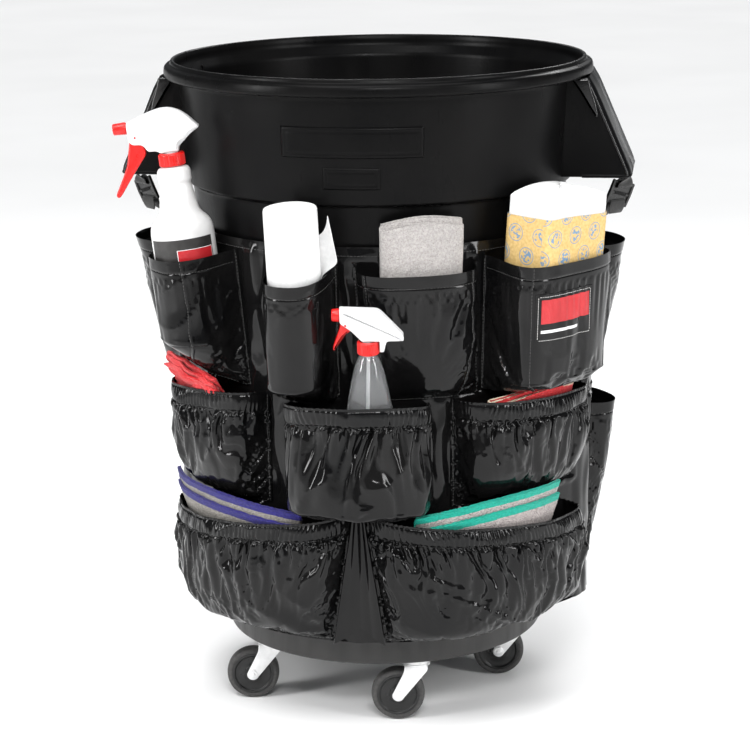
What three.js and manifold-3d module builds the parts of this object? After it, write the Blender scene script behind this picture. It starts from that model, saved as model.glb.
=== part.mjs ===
// A round waste container on a five-caster dolly, wearing a vinyl caddy bag with twelve loaded pockets.
// Millimetres, +Z up, z = 0 on the floor. -Y is the front. Angles named phi are degrees round the
// container's axis, 0 at the front and positive towards +X.
import * as THREE from 'three';
import { mergeVertices } from 'three/addons/utils/BufferGeometryUtils.js';
import Module from 'manifold-3d';

const wasm = await Module();
wasm.setup();

// ---------------------------------------------------------------- driving dimensions
const AXIS_Y = 26;                 // the container's axis stands this far behind the origin
const GAP = 0.3;                   // clearance between pieces that touch
const RIM_R = 304.8;               // 24 in rim
const TOP_Z = 927;
const DRUM_BASE_Z = 127;
const DRUM_BASE_R = 215;
const LEDGE_Z = 755;               // step where the body widens into the upper band
const DRUM_WALL = 4.5;
const DRUM_SIDES = 48;
const HANDLE_REACH = 360;          // radius of the handle's lip
const HANDLE_LIP_Z = 766;
const HANDLE_HALF_WIDTH = 75;
const DOLLY_R = 231.8;             // 18.25 in dolly
const DOLLY_BOTTOM_Z = 94;
const DOLLY_TOP_Z = 168;
const CASTER_COUNT = 5;
const CASTER_PHASE = 2.6;          // math angle of the first caster, degrees from +X
const CASTER_CIRCLE_R = 196;
const CASTER_TRAIL = 27;
const TRAIL_ANGLE = 188;           // all five wheels trail this way, degrees from +X
const WHEEL_R = 38.1;              // 3 in wheel
const WHEEL_WIDTH = 24;
const WHEEL_SIDES = 20;
const BAG_TOP_Z = 700;
const BAG_BOTTOM_Z = 138;
const BAG_WRAP = 122;              // the bag ends this far round on each side
const VINYL = 2;
const SEWN_GAP = 0.9;              // clearance between a pocket's flat edge and the bag, on faceted faces
const BAG_TOP_R = 268.5;           // inner radius of the bag where its top lies on the drum
const BAG_LOW_R = 258;             // inner radius where the loaded pockets press it in
const BAG_PULL_TOP = 48;           // how far the handle straps draw the bag's sides outwards
const BAG_PULL_BOTTOM = 38;
const STRAP_WIDTH = 25;
const STRAP_THICK = 2;
const VIEW_TURN = 8;               // the spray heads lie square to this heading

const rad = THREE.MathUtils.degToRad;
const lerp = THREE.MathUtils.lerp;
const clamp = THREE.MathUtils.clamp;

// ---------------------------------------------------------------- solids
// Merges shared corners, drops collapsed triangles and turns every face outwards.
function closed(geometry) {
  let g = geometry.clone();
  for (const name of Object.keys(g.attributes)) {
    if (name !== 'position') g.deleteAttribute(name);
  }
  g = mergeVertices(g, 1e-3);
  const p = g.attributes.position;
  const a = new THREE.Vector3();
  const b = new THREE.Vector3();
  const c = new THREE.Vector3();
  const kept = [];
  let volume = 0;
  for (let i = 0; i < g.index.count; i += 3) {
    const [i0, i1, i2] = [g.index.getX(i), g.index.getX(i + 1), g.index.getX(i + 2)];
    if (i0 === i1 || i1 === i2 || i2 === i0) continue;
    a.fromBufferAttribute(p, i0);
    b.fromBufferAttribute(p, i1);
    c.fromBufferAttribute(p, i2);
    volume += a.dot(b.cross(c));
    kept.push(i0, i1, i2);
  }
  if (volume < 0) {
    for (let i = 0; i < kept.length; i += 3) [kept[i + 1], kept[i + 2]] = [kept[i + 2], kept[i + 1]];
  }
  g.setIndex(kept);
  return g;
}

function toSolid(geometry) {
  const g = closed(geometry);
  return new wasm.Manifold(new wasm.Mesh({
    numProp: 3,
    vertProperties: new Float32Array(g.attributes.position.array),
    triVerts: new Uint32Array(g.index.array),
  }));
}

function fromSolid(solid) {
  const mesh = solid.getMesh();
  const g = new THREE.BufferGeometry();
  g.setAttribute('position', new THREE.BufferAttribute(new Float32Array(mesh.vertProperties), 3));
  g.setIndex(new THREE.BufferAttribute(new Uint32Array(mesh.triVerts), 1));
  return g;
}

const cut = (whole, ...tools) => tools.reduce((s, t) => s.subtract(toSolid(t)), toSolid(whole));

// A profile of [radius, height] points turned round +Z.
function turned(profile, sides) {
  const g = new THREE.LatheGeometry(profile.map(([r, z]) => new THREE.Vector2(r, z)), sides);
  return g.rotateX(Math.PI / 2);
}

function box(size, centre) {
  return new THREE.BoxGeometry(...size).translate(...centre);
}

// A cylinder along the local X axis.
function rod(radius, length, sides, x = 0) {
  return new THREE.CylinderGeometry(radius, radius, length, sides).rotateZ(Math.PI / 2).translate(x, 0, 0);
}

// An outline of [a, b] points in a vertical plane: a runs along +X and b along +Z, thick along Y.
function slab(outline, thickness) {
  const shape = new THREE.Shape(outline.map(([a, b]) => new THREE.Vector2(a, b)));
  const g = new THREE.ExtrudeGeometry(shape, { depth: thickness, bevelEnabled: false });
  return g.translate(0, 0, -thickness / 2).rotateX(Math.PI / 2);
}

// A closed solid between two matching grids of points: near(i, j) and far(i, j).
function between(columns, rows, near, far) {
  const points = [];
  for (const side of [near, far]) {
    for (let j = 0; j <= rows; j += 1) {
      for (let i = 0; i <= columns; i += 1) points.push(...side(i / columns, j / rows));
    }
  }
  const at = (side, i, j) => side * (columns + 1) * (rows + 1) + j * (columns + 1) + i;
  const faces = [];
  const quad = (p, q, r, s) => faces.push(p, q, r, p, r, s);
  for (let j = 0; j < rows; j += 1) {
    for (let i = 0; i < columns; i += 1) {
      quad(at(0, i, j), at(0, i + 1, j), at(0, i + 1, j + 1), at(0, i, j + 1));
      quad(at(1, i, j), at(1, i, j + 1), at(1, i + 1, j + 1), at(1, i + 1, j));
    }
  }
  for (let i = 0; i < columns; i += 1) {
    quad(at(0, i + 1, 0), at(0, i, 0), at(1, i, 0), at(1, i + 1, 0));
    quad(at(0, i, rows), at(0, i + 1, rows), at(1, i + 1, rows), at(1, i, rows));
  }
  for (let j = 0; j < rows; j += 1) {
    quad(at(0, 0, j), at(0, 0, j + 1), at(1, 0, j + 1), at(1, 0, j));
    quad(at(0, columns, j + 1), at(0, columns, j), at(1, columns, j), at(1, columns, j + 1));
  }
  const g = new THREE.BufferGeometry();
  g.setAttribute('position', new THREE.Float32BufferAttribute(points, 3));
  g.setIndex(faces);
  return g;
}

// A band of webbing that follows a path of [x, z] points in the vertical plane y = 0.
function webbing(path, width, thickness, loop) {
  const count = path.length;
  const normals = path.map((point, i) => {
    const before = path[loop ? (i + count - 1) % count : Math.max(i - 1, 0)];
    const after = path[loop ? (i + 1) % count : Math.min(i + 1, count - 1)];
    const arrive = new THREE.Vector2(point[0] - before[0], point[1] - before[1]).normalize();
    const leave = new THREE.Vector2(after[0] - point[0], after[1] - point[1]).normalize();
    const along = arrive.clone().add(leave).normalize();
    const mitre = Math.sqrt((1 + clamp(arrive.dot(leave), -0.9, 1)) / 2) || 1;
    const stretch = arrive.lengthSq() && leave.lengthSq() ? 1 / mitre : 1;
    return [-along.y * stretch, along.x * stretch];
  });
  const edge = (side) => path.map(([x, z], i) => [
    x + side * normals[i][0] * thickness / 2,
    z + side * normals[i][1] * thickness / 2,
  ]);
  if (!loop) return slab([...edge(1), ...edge(-1).reverse()], width);
  const outer = new THREE.Shape(edge(-1).map(([a, b]) => new THREE.Vector2(a, b)));
  outer.holes.push(new THREE.Path(edge(1).map(([a, b]) => new THREE.Vector2(a, b))));
  const g = new THREE.ExtrudeGeometry(outer, { depth: width, bevelEnabled: false });
  return g.translate(0, 0, -width / 2).rotateX(Math.PI / 2);
}

// ---------------------------------------------------------------- placing
function polar(radius, phi, z) {
  return [radius * Math.sin(rad(phi)), AXIS_Y - radius * Math.cos(rad(phi)), z];
}

const materials = {
  drum: [0x141414, 0.38, 0],
  vinyl: [0x0d0d0e, 0.16, 0],
  webbing: [0x17171a, 0.85, 0],
  buckle: [0x101012, 0.4, 0],
  fork: [0xdedfe2, 0.3, 0.6],
  axle: [0xb9bcc2, 0.25, 1],
  tyre: [0x2a2c2f, 0.7, 0],
  white_plastic: [0xf4f5f6, 0.35, 0],
  red_plastic: [0xe0342c, 0.35, 0],
  clear_plastic: [0x9fa4a8, 0.08, 0],
  paper: [0xf7f7f5, 0.9, 0],
  wrapper: [0xdcc08a, 0.85, 0],
  grey_cloth: [0xbdbab6, 0.95, 0],
  red_cloth: [0xd23a48, 0.95, 0],
};

function piece(name, geometry, look) {
  const [color, roughness, metalness] = materials[look];
  const material = new THREE.MeshStandardMaterial({ color, roughness, metalness });
  const mesh = new THREE.Mesh(closed(geometry), material);
  mesh.name = name;
  return mesh;
}

const caddy = new THREE.Group();

// A group at the container's axis, turned so that its +X points outwards at phi.
function facing(phi) {
  const group = new THREE.Group();
  group.position.set(0, AXIS_Y, 0);
  group.rotation.z = rad(phi - 90);
  caddy.add(group);
  return group;
}

// ---------------------------------------------------------------- container
function drumOuter() {
  return [
    [0, DRUM_BASE_Z], [207, DRUM_BASE_Z], [DRUM_BASE_R, 135],
    [267.5, LEDGE_Z - 3], [276, LEDGE_Z + 2], [283.5, 898], [285, 902],
    [300, 902], [RIM_R, 907], [RIM_R, 919], [300, TOP_Z - 1], [295, TOP_Z], [290, TOP_Z - 3],
  ];
}

function drumInner() {
  return [
    [288, 915], [283.5 - DRUM_WALL, 896], [276 - DRUM_WALL, LEDGE_Z + 2], [267.5 - DRUM_WALL, LEDGE_Z - 3],
    [DRUM_BASE_R - DRUM_WALL, 138], [DRUM_BASE_R - 14, 132], [0, 132],
  ];
}

// The hooded flare under the rim, along +X: fingers go in from below, behind the lip.
function handleShell() {
  const skin = 4.5;
  const outer = [
    [266, 904], [302, 904], [310, 888],
    [HANDLE_REACH, HANDLE_LIP_Z + 6], [HANDLE_REACH, HANDLE_LIP_Z], [266, HANDLE_LIP_Z],
  ];
  const hollow = [
    [260, 892], [303, 892], [306, 886], [HANDLE_REACH - skin, HANDLE_LIP_Z + 5],
    [HANDLE_REACH - skin, HANDLE_LIP_Z - 10], [260, HANDLE_LIP_Z - 10],
  ];
  const strapSlot = box([26, STRAP_WIDTH + 3, 8], [HANDLE_REACH - 8, 0, HANDLE_LIP_Z + 20]);
  return cut(
    slab(outer, HANDLE_HALF_WIDTH * 2),
    slab(hollow, (HANDLE_HALF_WIDTH - skin) * 2),
    strapSlot,
  );
}

// Plain raised panels on the upper band, above and below one another.
function raisedPanel(halfAngle, z0, z1, proud) {
  const bandR = (z) => lerp(276, 283.5, (z - LEDGE_Z - 2) / (896 - LEDGE_Z));
  const point = (lift) => (s, t) => {
    const z = lerp(z0, z1, t);
    const r = bandR(z) + lift;
    const phi = rad(lerp(-halfAngle, halfAngle, s));
    return [r * Math.sin(phi), -r * Math.cos(phi), z];
  };
  return between(8, 1, point(-2), point(proud));
}

function drum() {
  const shell = toSolid(turned([...drumOuter(), ...drumInner()], DRUM_SIDES));
  const inside = [[0, 132], ...drumInner().slice(0, -1).reverse(), [288, 1000], [0, 1000]];
  const cavity = toSolid(turned(inside, DRUM_SIDES));
  let solid = shell;
  for (const angle of [0, 180]) solid = solid.add(handleShell().rotate([0, 0, angle]));
  solid = solid.subtract(cavity);
  solid = solid.add(toSolid(raisedPanel(20, 820, 862, 3)));
  solid = solid.add(toSolid(raisedPanel(8, 778, 808, 2.5)));
  const mesh = piece('drum', fromSolid(solid), 'drum');
  mesh.position.y = AXIS_Y;
  return mesh;
}

function dollyBase() {
  const profile = [
    [0, 108], [160, 108], [168, DOLLY_BOTTOM_Z],
    [DOLLY_R - 2, DOLLY_BOTTOM_Z], [DOLLY_R, DOLLY_BOTTOM_Z + 3], [DOLLY_R, DOLLY_TOP_Z],
    [DOLLY_R - 4, DOLLY_TOP_Z], [DOLLY_R - 4, DRUM_BASE_Z - GAP], [0, DRUM_BASE_Z - GAP],
  ];
  const mesh = piece('dolly_base', turned(profile, DRUM_SIDES), 'drum');
  mesh.position.y = AXIS_Y;
  return mesh;
}

caddy.add(drum(), dollyBase());

// ---------------------------------------------------------------- casters
const AXLE_Z = WHEEL_R * Math.cos(Math.PI / WHEEL_SIDES);
const AXLE_R = 4;
const FORK_SKIN = 2.5;
const FORK_INSIDE = WHEEL_WIDTH / 2 + 1.5;
const CROWN_Z = 80;
const RACE_TOP_Z = 89.5;

// In a caster's own frame the swivel stands on z, the wheel trails along +X and the axle lies along Y.
function casterPlate() {
  const low = RACE_TOP_Z + GAP;
  const high = DOLLY_BOTTOM_Z - GAP;
  return turned([[0, low], [22, low], [25, high], [0, high]], 16);
}

function forkLeg() {
  const end = 9;
  const outline = [[-15, CROWN_Z + 3], [-15, CROWN_Z - 6], [CASTER_TRAIL - end, AXLE_Z]];
  for (let turn = 200; turn <= 360; turn += 40) {
    outline.push([CASTER_TRAIL + end * Math.cos(rad(turn)), AXLE_Z + end * Math.sin(rad(turn))]);
  }
  outline.push([17, CROWN_Z - 6], [17, CROWN_Z + 3]);
  return outline;
}

function fork() {
  const middle = FORK_INSIDE + FORK_SKIN / 2;
  let solid = toSolid(box([32, (FORK_INSIDE + FORK_SKIN) * 2, 3], [1, 0, CROWN_Z + 1.5]));
  for (const side of [-1, 1]) {
    solid = solid.add(toSolid(slab(forkLeg(), FORK_SKIN).translate(0, side * middle, 0)));
  }
  const race = turned([[0, CROWN_Z + 2], [19, CROWN_Z + 2], [19, RACE_TOP_Z], [0, RACE_TOP_Z]], 16);
  const hole = new THREE.CylinderGeometry(AXLE_R + GAP, AXLE_R + GAP, 60, 12);
  hole.translate(CASTER_TRAIL, 0, AXLE_Z);
  return fromSolid(solid.add(toSolid(race)).subtract(toSolid(hole)));
}

function wheelProfile() {
  const half = WHEEL_WIDTH / 2;
  return [
    [AXLE_R + GAP, -half], [14, -half], [27, -half + 2], [WHEEL_R, -half + 4],
    [WHEEL_R, half - 4], [27, half - 2], [14, half], [AXLE_R + GAP, half], [AXLE_R + GAP, -half],
  ];
}

function wheel() {
  const g = turned(wheelProfile(), WHEEL_SIDES).rotateX(Math.PI / 2);
  return g.rotateY(Math.PI / WHEEL_SIDES).translate(CASTER_TRAIL, 0, AXLE_Z);
}

function axle() {
  const seat = FORK_INSIDE + FORK_SKIN + GAP;
  const profile = [
    [0, -seat - 4], [8, -seat - 4], [8, -seat], [AXLE_R, -seat],
    [AXLE_R, seat], [8, seat], [8, seat + 4], [0, seat + 4],
  ];
  return turned(profile, 12).rotateX(Math.PI / 2).translate(CASTER_TRAIL, 0, AXLE_Z);
}

for (let i = 0; i < CASTER_COUNT; i += 1) {
  const angle = rad(CASTER_PHASE + i * 360 / CASTER_COUNT);
  const caster = new THREE.Group();
  caster.position.set(CASTER_CIRCLE_R * Math.cos(angle), AXIS_Y + CASTER_CIRCLE_R * Math.sin(angle), 0);
  caster.rotation.z = rad(TRAIL_ANGLE);
  const n = i + 1;
  caster.add(piece(`caster_plate_${n}`, casterPlate(), 'axle'));
  caster.add(piece(`fork_${n}`, fork(), 'fork'));
  caster.add(piece(`wheel_${n}`, wheel(), 'tyre'));
  caster.add(piece(`axle_${n}`, axle(), 'axle'));
  caddy.add(caster);
}

// ---------------------------------------------------------------- caddy bag
// The bag lies on the drum in front. The handle straps draw it outwards at the sides.
function bagRadius(phi, z) {
  const away = clamp((Math.abs(phi) - 94) / 30, -1, 1);
  const share = Math.cos(away * Math.PI / 2) ** 2;
  const height = clamp((z - BAG_BOTTOM_Z) / (BAG_TOP_Z - BAG_BOTTOM_Z), 0, 1);
  const hug = lerp(BAG_LOW_R, BAG_TOP_R, clamp((z - 480) / 200, 0, 1));
  return hug + share * lerp(BAG_PULL_BOTTOM, BAG_PULL_TOP, height);
}

function skirt() {
  const levels = [BAG_BOTTOM_Z, 310, 480, 680, BAG_TOP_Z];
  const rows = levels.length - 1;
  const layer = (lift) => (s, t) => {
    const phi = lerp(-BAG_WRAP, BAG_WRAP, s);
    const z = levels[Math.round(t * rows)];
    return polar(bagRadius(phi, z) + lift, phi, z);
  };
  return between(72, rows, layer(0), layer(VINYL));
}

caddy.add(piece('skirt', skirt(), 'vinyl'));

// A pocket is a pouch sewn to the bag along both sides and the bottom. Its cross-section runs from one
// flat flange, over a rounded box, to the other. slant turns its mouth round the drum, in degrees, and
// tilt raises one end of its mouth and lowers the other.
const FLANGE = 6;
function pouch({ from, to, bottom, top, depth, square = 2, sag = 0, slant = 0, tilt = 0 }) {
  const bends = 11;
  const columns = bends + 2;
  const rows = 5;
  const reach = rad(to - from) / 2 * BAG_TOP_R - FLANGE;
  // The pouch's arch, resampled to equal steps of its length.
  const arch = (deep) => {
    const fine = new THREE.CurvePath();
    const at = (i, n) => {
      const angle = Math.PI * (1 - i / n);
      const u = reach * Math.sign(Math.cos(angle)) * Math.abs(Math.cos(angle)) ** (2 / square);
      return new THREE.Vector2(u, deep * Math.max(Math.sin(angle), 0) ** (2 / square));
    };
    for (let i = 0; i < 48; i += 1) fine.add(new THREE.LineCurve(at(i, 48), at(i + 1, 48)));
    return fine.getSpacedPoints(bends);
  };
  const section = (t) => {
    const edge = reach + FLANGE;
    const points = [new THREE.Vector2(-edge, 0), ...arch(depth(t)), new THREE.Vector2(edge, 0)];
    return points.map((point, i) => {
      const step = points[Math.min(i + 1, columns)].clone().sub(points[Math.max(i - 1, 0)]).normalize();
      return { u: point.x, v: point.y, nu: -step.y, nv: step.x };
    });
  };
  const levels = Array.from({ length: rows + 1 }, (_, j) => (j / rows) ** 1.5);
  const sections = levels.map(section);
  const layer = (lift) => (s, row) => {
    const j = Math.round(row * rows);
    const t = levels[j];
    const { u, v, nu, nv } = sections[j][Math.round(s * columns)];
    const level = lerp(bottom, top, t) - sag * t * (v / depth(1)) + tilt * t * (u / reach);
    const middle = (from + to) / 2 + slant * (t - 0.5);
    const phi = middle + THREE.MathUtils.radToDeg((u + nu * lift) / BAG_TOP_R);
    return polar(bagRadius(phi, level) + VINYL + SEWN_GAP + Math.max(v + nv * lift, 0), phi, level);
  };
  return between(columns, rows, layer(0), layer(VINYL));
}

const boxy = (mouth, rise) => (t) => mouth * Math.min(1, Math.sqrt(t / rise));
const hung = (mouth, rise) => (t) => mouth * Math.min(1, t / rise);
const wedge = (mouth) => (t) => mouth * t ** 0.8;
const gathered = (mouth, belly) => (t) => (
  t < 0.6 ? belly * Math.sin(Math.PI / 2 * t / 0.6) ** 0.6 : lerp(belly, mouth, (t - 0.6) / 0.4)
);

const pockets = {
  pocket_upper_left: {
    from: -59, to: -37.2, bottom: 492, top: 684, depth: hung(94, 0.38), square: 2.8, sag: 10, slant: -3,
  },
  pocket_upper_roll: {
    from: -23, to: -4.5, bottom: 492, top: 676, depth: boxy(86, 0.15), square: 2.6, sag: 16,
  },
  pocket_upper_flat: {
    from: 0.5, to: 37, bottom: 488, top: 673, depth: boxy(30, 0.5), square: 3.5, sag: 8, slant: -1.5,
  },
  pocket_upper_right: {
    from: 38.2, to: 71, bottom: 492, top: 680, depth: boxy(97, 0.12), square: 6, sag: 5,
  },
  pocket_side_left: { from: -106, to: -79, bottom: 440, top: 664, depth: wedge(46), square: 3 },
  pocket_side_right: { from: 84, to: 111, bottom: 440, top: 660, depth: wedge(34), square: 3 },
  pocket_side_low: { from: 92, to: 117, bottom: 182, top: 418, depth: wedge(44), square: 3 },
  pocket_middle_left: {
    from: -76, to: -29, bottom: 330, top: 478, depth: gathered(56, 58), square: 2.8, sag: -6, tilt: 10,
  },
  pocket_middle_front: {
    from: -20, to: 22, bottom: 338, top: 480, depth: boxy(96, 0.1), square: 2.6, sag: -20,
  },
  pocket_middle_right: {
    from: 28.5, to: 80, bottom: 330, top: 476, depth: gathered(54, 58), square: 2.8, sag: -2, tilt: -8,
  },
  pocket_lower_left: {
    from: -81, to: -4.5, bottom: 142, top: 314, depth: gathered(54, 57), square: 3, sag: 8, slant: 6,
    tilt: 20,
  },
  pocket_lower_right: {
    from: 4.5, to: 81, bottom: 142, top: 314, depth: gathered(54, 57), square: 3, sag: 8, slant: -6,
    tilt: -20,
  },
};
for (const [name, cutting] of Object.entries(pockets)) {
  caddy.add(piece(name, pouch(cutting), 'vinyl'));
}

// ---------------------------------------------------------------- handle straps
// Seen in the plane through the handle: x is the radius. The loop runs through the handle's slot and
// round the buckle's top bar; the tab runs round its bottom bar and is sewn to the bag.
const BUCKLE_BAR = 5;
const BUCKLE_TOP = [349, 745];
const BUCKLE_BOTTOM = [338, 717];

function strapLoop() {
  const clear = STRAP_THICK / 2 + GAP + 0.7;
  const outside = HANDLE_REACH + clear;
  const over = HANDLE_LIP_Z + 16 + clear;
  const [bx, bz] = BUCKLE_TOP;
  const b = BUCKLE_BAR / 2 + clear;
  return [
    [HANDLE_REACH - 13, over], [HANDLE_REACH - 7, HANDLE_LIP_Z + 4],
    [bx - b, bz + b], [bx - b, bz - b], [bx + b, bz - b], [bx + b, bz + b],
    [outside, HANDLE_LIP_Z], [outside, HANDLE_LIP_Z + 5], [HANDLE_REACH - 2.5, over],
  ];
}

function strapTab() {
  const proud = VINYL + SEWN_GAP + STRAP_THICK / 2 + 0.6;
  const sewn = bagRadius(90, 690) + proud;
  const low = bagRadius(90, 672) + proud;
  const [bx, bz] = BUCKLE_BOTTOM;
  const b = BUCKLE_BAR / 2 + STRAP_THICK / 2 + GAP + 0.9;
  return [
    [low, 672], [sewn, 690], [sewn + 3, 700], [bx - b, bz - b], [bx - b, bz + b],
    [bx + b, bz + b], [bx + b, bz - b], [bx + b - 3.4, bz - b - 9],
  ];
}

function buckle() {
  const along = new THREE.Vector2(BUCKLE_TOP[0] - BUCKLE_BOTTOM[0], BUCKLE_TOP[1] - BUCKLE_BOTTOM[1]);
  const span = along.length();
  const window = [20, STRAP_WIDTH + 4, span / 2 - BUCKLE_BAR];
  const plate = box([BUCKLE_BAR, STRAP_WIDTH + 14, span + BUCKLE_BAR], [0, 0, 0]);
  const upper = box(window, [0, 0, span / 4]);
  const lower = box(window, [0, 0, -span / 4]);
  const g = fromSolid(cut(plate, upper, lower));
  g.rotateY(Math.atan2(along.x, along.y));
  return g.translate((BUCKLE_TOP[0] + BUCKLE_BOTTOM[0]) / 2, 0, (BUCKLE_TOP[1] + BUCKLE_BOTTOM[1]) / 2);
}

for (const [side, phi] of [['left', -90], ['right', 90]]) {
  const place = facing(phi);
  place.add(piece(`strap_loop_${side}`, webbing(strapLoop(), STRAP_WIDTH, STRAP_THICK, true), 'webbing'));
  place.add(piece(`strap_tab_${side}`, webbing(strapTab(), STRAP_WIDTH, STRAP_THICK, false), 'webbing'));
  place.add(piece(`buckle_${side}`, buckle(), 'buckle'));
}

// ---------------------------------------------------------------- supplies
// A group whose origin is at radius, phi and z, leaning outwards and sideways, in degrees, and then
// turned so that its +X has the given heading.
function standing(radius, phi, z, outwards, sideways, heading) {
  const group = new THREE.Group();
  group.position.set(...polar(radius, phi, z));
  const across = new THREE.Vector3(Math.cos(rad(phi)), Math.sin(rad(phi)), 0);
  const out = new THREE.Vector3(Math.sin(rad(phi)), -Math.cos(rad(phi)), 0);
  const turn = new THREE.Quaternion().setFromAxisAngle(across, rad(outwards));
  turn.multiply(new THREE.Quaternion().setFromAxisAngle(out, rad(sideways)));
  turn.multiply(new THREE.Quaternion().setFromAxisAngle(new THREE.Vector3(0, 0, 1), rad(heading)));
  group.quaternion.copy(turn);
  caddy.add(group);
  return group;
}

const cylinder = (radius, low, high, sides) => (
  turned([[0, low], [radius, low], [radius, high], [0, high]], sides)
);
const ring = (inner, outer, low, high, sides) => (
  turned([[inner, low], [outer, low], [outer, high], [inner, high], [inner, low]], sides)
);

// A hollow bottle from its outer profile: the inside is the same profile, a wall thickness smaller.
function bottle(profile, wall, sides) {
  const inside = profile.slice(1).map(([r, z], i) => [r - wall, i === 0 ? z + wall : z]);
  return turned([...profile, ...inside.reverse(), [0, profile[0][1] + wall]], sides);
}

// The spray head's outline, nozzle end towards +X, with a slot underneath where the trigger swings.
function sprayHead(outline, slot, plug) {
  const [x0, x1, z0, z1] = slot;
  const opening = toSolid(box([x1 - x0, 14, z1 - z0], [(x0 + x1) / 2, 0, (z0 + z1) / 2]));
  const body = toSolid(slab(outline, 22)).subtract(opening);
  return fromSolid(body.add(toSolid(cylinder(...plug, 16))));
}

const squirtNozzle = (radius, from, to, z) => (
  rod(radius, to - from, 12, (from + to) / 2).translate(0, 0, z)
);

function spray(n, place, { profile, wall, collar, head, slot, plug, trigger, nozzle, tube }, look) {
  place.add(piece(`bottle_${n}`, bottle(profile, wall, 16), look));
  place.add(piece(`bottle_collar_${n}`, ring(...collar, 20), 'red_plastic'));
  place.add(piece(`spray_head_${n}`, sprayHead(head, slot, plug), 'white_plastic'));
  place.add(piece(`trigger_${n}`, slab(trigger, 12.6), 'red_plastic'));
  place.add(piece(`nozzle_${n}`, squirtNozzle(...nozzle), 'red_plastic'));
  place.add(piece(`dip_tube_${n}`, cylinder(2.5, ...tube, 8), 'white_plastic'));
}

const NOZZLE_HEADING = 180 + VIEW_TURN;
spray(1, standing(312, -48, 586, 4.5, 4.8, NOZZLE_HEADING), {
  profile: [
    [0, 0], [40, 0], [43.5, 5], [43.5, 124], [42, 133], [37, 141], [28.5, 149], [26, 160], [23, 180],
    [21, 190], [23, 194], [23, 208], [19.5, 212], [14, 213.2], [13.2, 214], [13.2, 230],
  ],
  wall: 1.6,
  collar: [13.6, 17.5, 214, 232],
  head: [
    [-11, 232.3], [13, 232.3], [18, 236.5], [30, 237], [36, 247], [51, 248.5], [55, 256], [55, 279],
    [24, 290.5], [-1, 295], [-23, 286.5], [-44, 263], [-14, 245],
  ],
  slot: [25.5, 56, 235.6, 266],
  plug: [9, 220, 233],
  trigger: [
    [38.5, 262], [48, 262], [53, 256], [56.4, 243], [61, 222], [72, 201], [82.4, 183], [80.5, 179],
    [76.3, 179.5], [60, 201], [43.1, 222], [33.6, 233], [34.1, 247],
  ],
  nozzle: [8.5, 55.3, 74, 272],
  tube: [8, 219.7],
}, 'white_plastic');

spray(2, standing(300.5, 4.6, 357, 7, 0, NOZZLE_HEADING), {
  profile: [
    [0, 0], [34, 0], [37, 5], [37, 80], [35.5, 102], [28, 150], [23, 177], [17.5, 199], [13, 208],
    [11.2, 210], [11.2, 229],
  ],
  wall: 1.4,
  collar: [11.6, 14.2, 213, 231.4],
  head: [
    [-14.9, 231.7], [8, 231.7], [21, 246], [37, 258], [37, 277], [-15, 274], [-47, 239], [-47, 232],
    [-24.4, 231.7], [-20.7, 217], [-14.9, 217],
  ],
  slot: [19.5, 38, 241, 262],
  plug: [7.6, 219, 232],
  trigger: [
    [26, 260], [33, 260], [36.5, 254], [38, 246], [42, 236], [47, 221], [44.5, 219], [38.5, 229],
    [32, 241], [23.5, 245], [22, 250],
  ],
  nozzle: [9, 37.3, 47.5, 267.5],
  tube: [8, 218.7],
}, 'clear_plastic');

// A bundle rolled to a round section, with its loose end standing out on the right.
function paperRoll() {
  const loose = box([30, 4, 52], [36, 14, 200]);
  return fromSolid(toSolid(cylinder(37, 0, 234, 24)).add(toSolid(loose)));
}
standing(301.5, -13.75, 527, 5, 0, -13.75).add(piece('paper_roll', paperRoll(), 'paper'));

function towelPack() {
  const [w, d, corner] = [62.5, 39.5, 10];
  const shape = new THREE.Shape([
    [-w, -d + corner], [-w + corner, -d], [w - corner, -d], [w, -d + corner],
    [w, d - corner], [w - corner, d], [-w + corner, d], [-w, d - corner],
  ].map(([x, y]) => new THREE.Vector2(x, y)));
  return new THREE.ExtrudeGeometry(shape, { depth: 248, bevelEnabled: false });
}
standing(307.5, 55, 526, 5, 0, 55).add(piece('towel_pack', towelPack(), 'wrapper'));

// A folded cloth that follows the bag round: its middle lies at radius(z), and its top edge runs from
// one height to another.
function foldedCloth({ from, to, low, left, right, thick, radius }) {
  const layer = (side) => (s, t) => {
    const phi = lerp(from, to, s);
    const z = lerp(low, lerp(left, right, s) + 8 * Math.sin(Math.PI * s), t);
    const end = Math.abs(2 * s - 1) ** 4;
    return polar(radius(z) - 6 * end + side * thick / 2 * (1 - 0.4 * end), phi, z);
  };
  return between(8, 4, layer(-1), layer(1));
}

const leaningFrom = (base, low, slope) => (z) => base + (z - low) * slope;
const flaring = (base, low, slope) => (z) => base + (z - low) * slope + Math.max(z - 480, 0) * 0.35;
const cloths = {
  grey_cloths: {
    from: 7.5, to: 30.5, low: 564, left: 735, right: 740, thick: 10, radius: leaningFrom(277, 564, 0.075),
  },
  red_cloth_left: {
    from: -71, to: -40, low: 400, left: 518, right: 503, thick: 20, radius: flaring(288, 400, 0.17),
  },
  red_cloth_right: {
    from: 36, to: 70, low: 400, left: 490, right: 490, thick: 16, radius: leaningFrom(288, 400, 0.2),
  },
  blue_edge_cloth: {
    from: -72, to: -14, low: 258, left: 344, right: 336, thick: 13, radius: leaningFrom(283, 258, 0.35),
  },
  green_edge_cloth: {
    from: 15, to: 62, low: 258, left: 334, right: 352, thick: 13, radius: leaningFrom(283, 258, 0.35),
  },
};
for (const [name, cutting] of Object.entries(cloths)) {
  caddy.add(piece(name, foldedCloth(cutting), name.startsWith('red') ? 'red_cloth' : 'grey_cloth'));
}

export default caddy;
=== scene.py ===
"""The looks of the cleaning caddy: a waste container on a dolly, wearing a vinyl bag of loaded pockets.

Lengths are millimetres until a mesh is built. An angle phi is in degrees round the container's axis,
0 at the front and positive towards +X.
"""

import math

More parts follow.
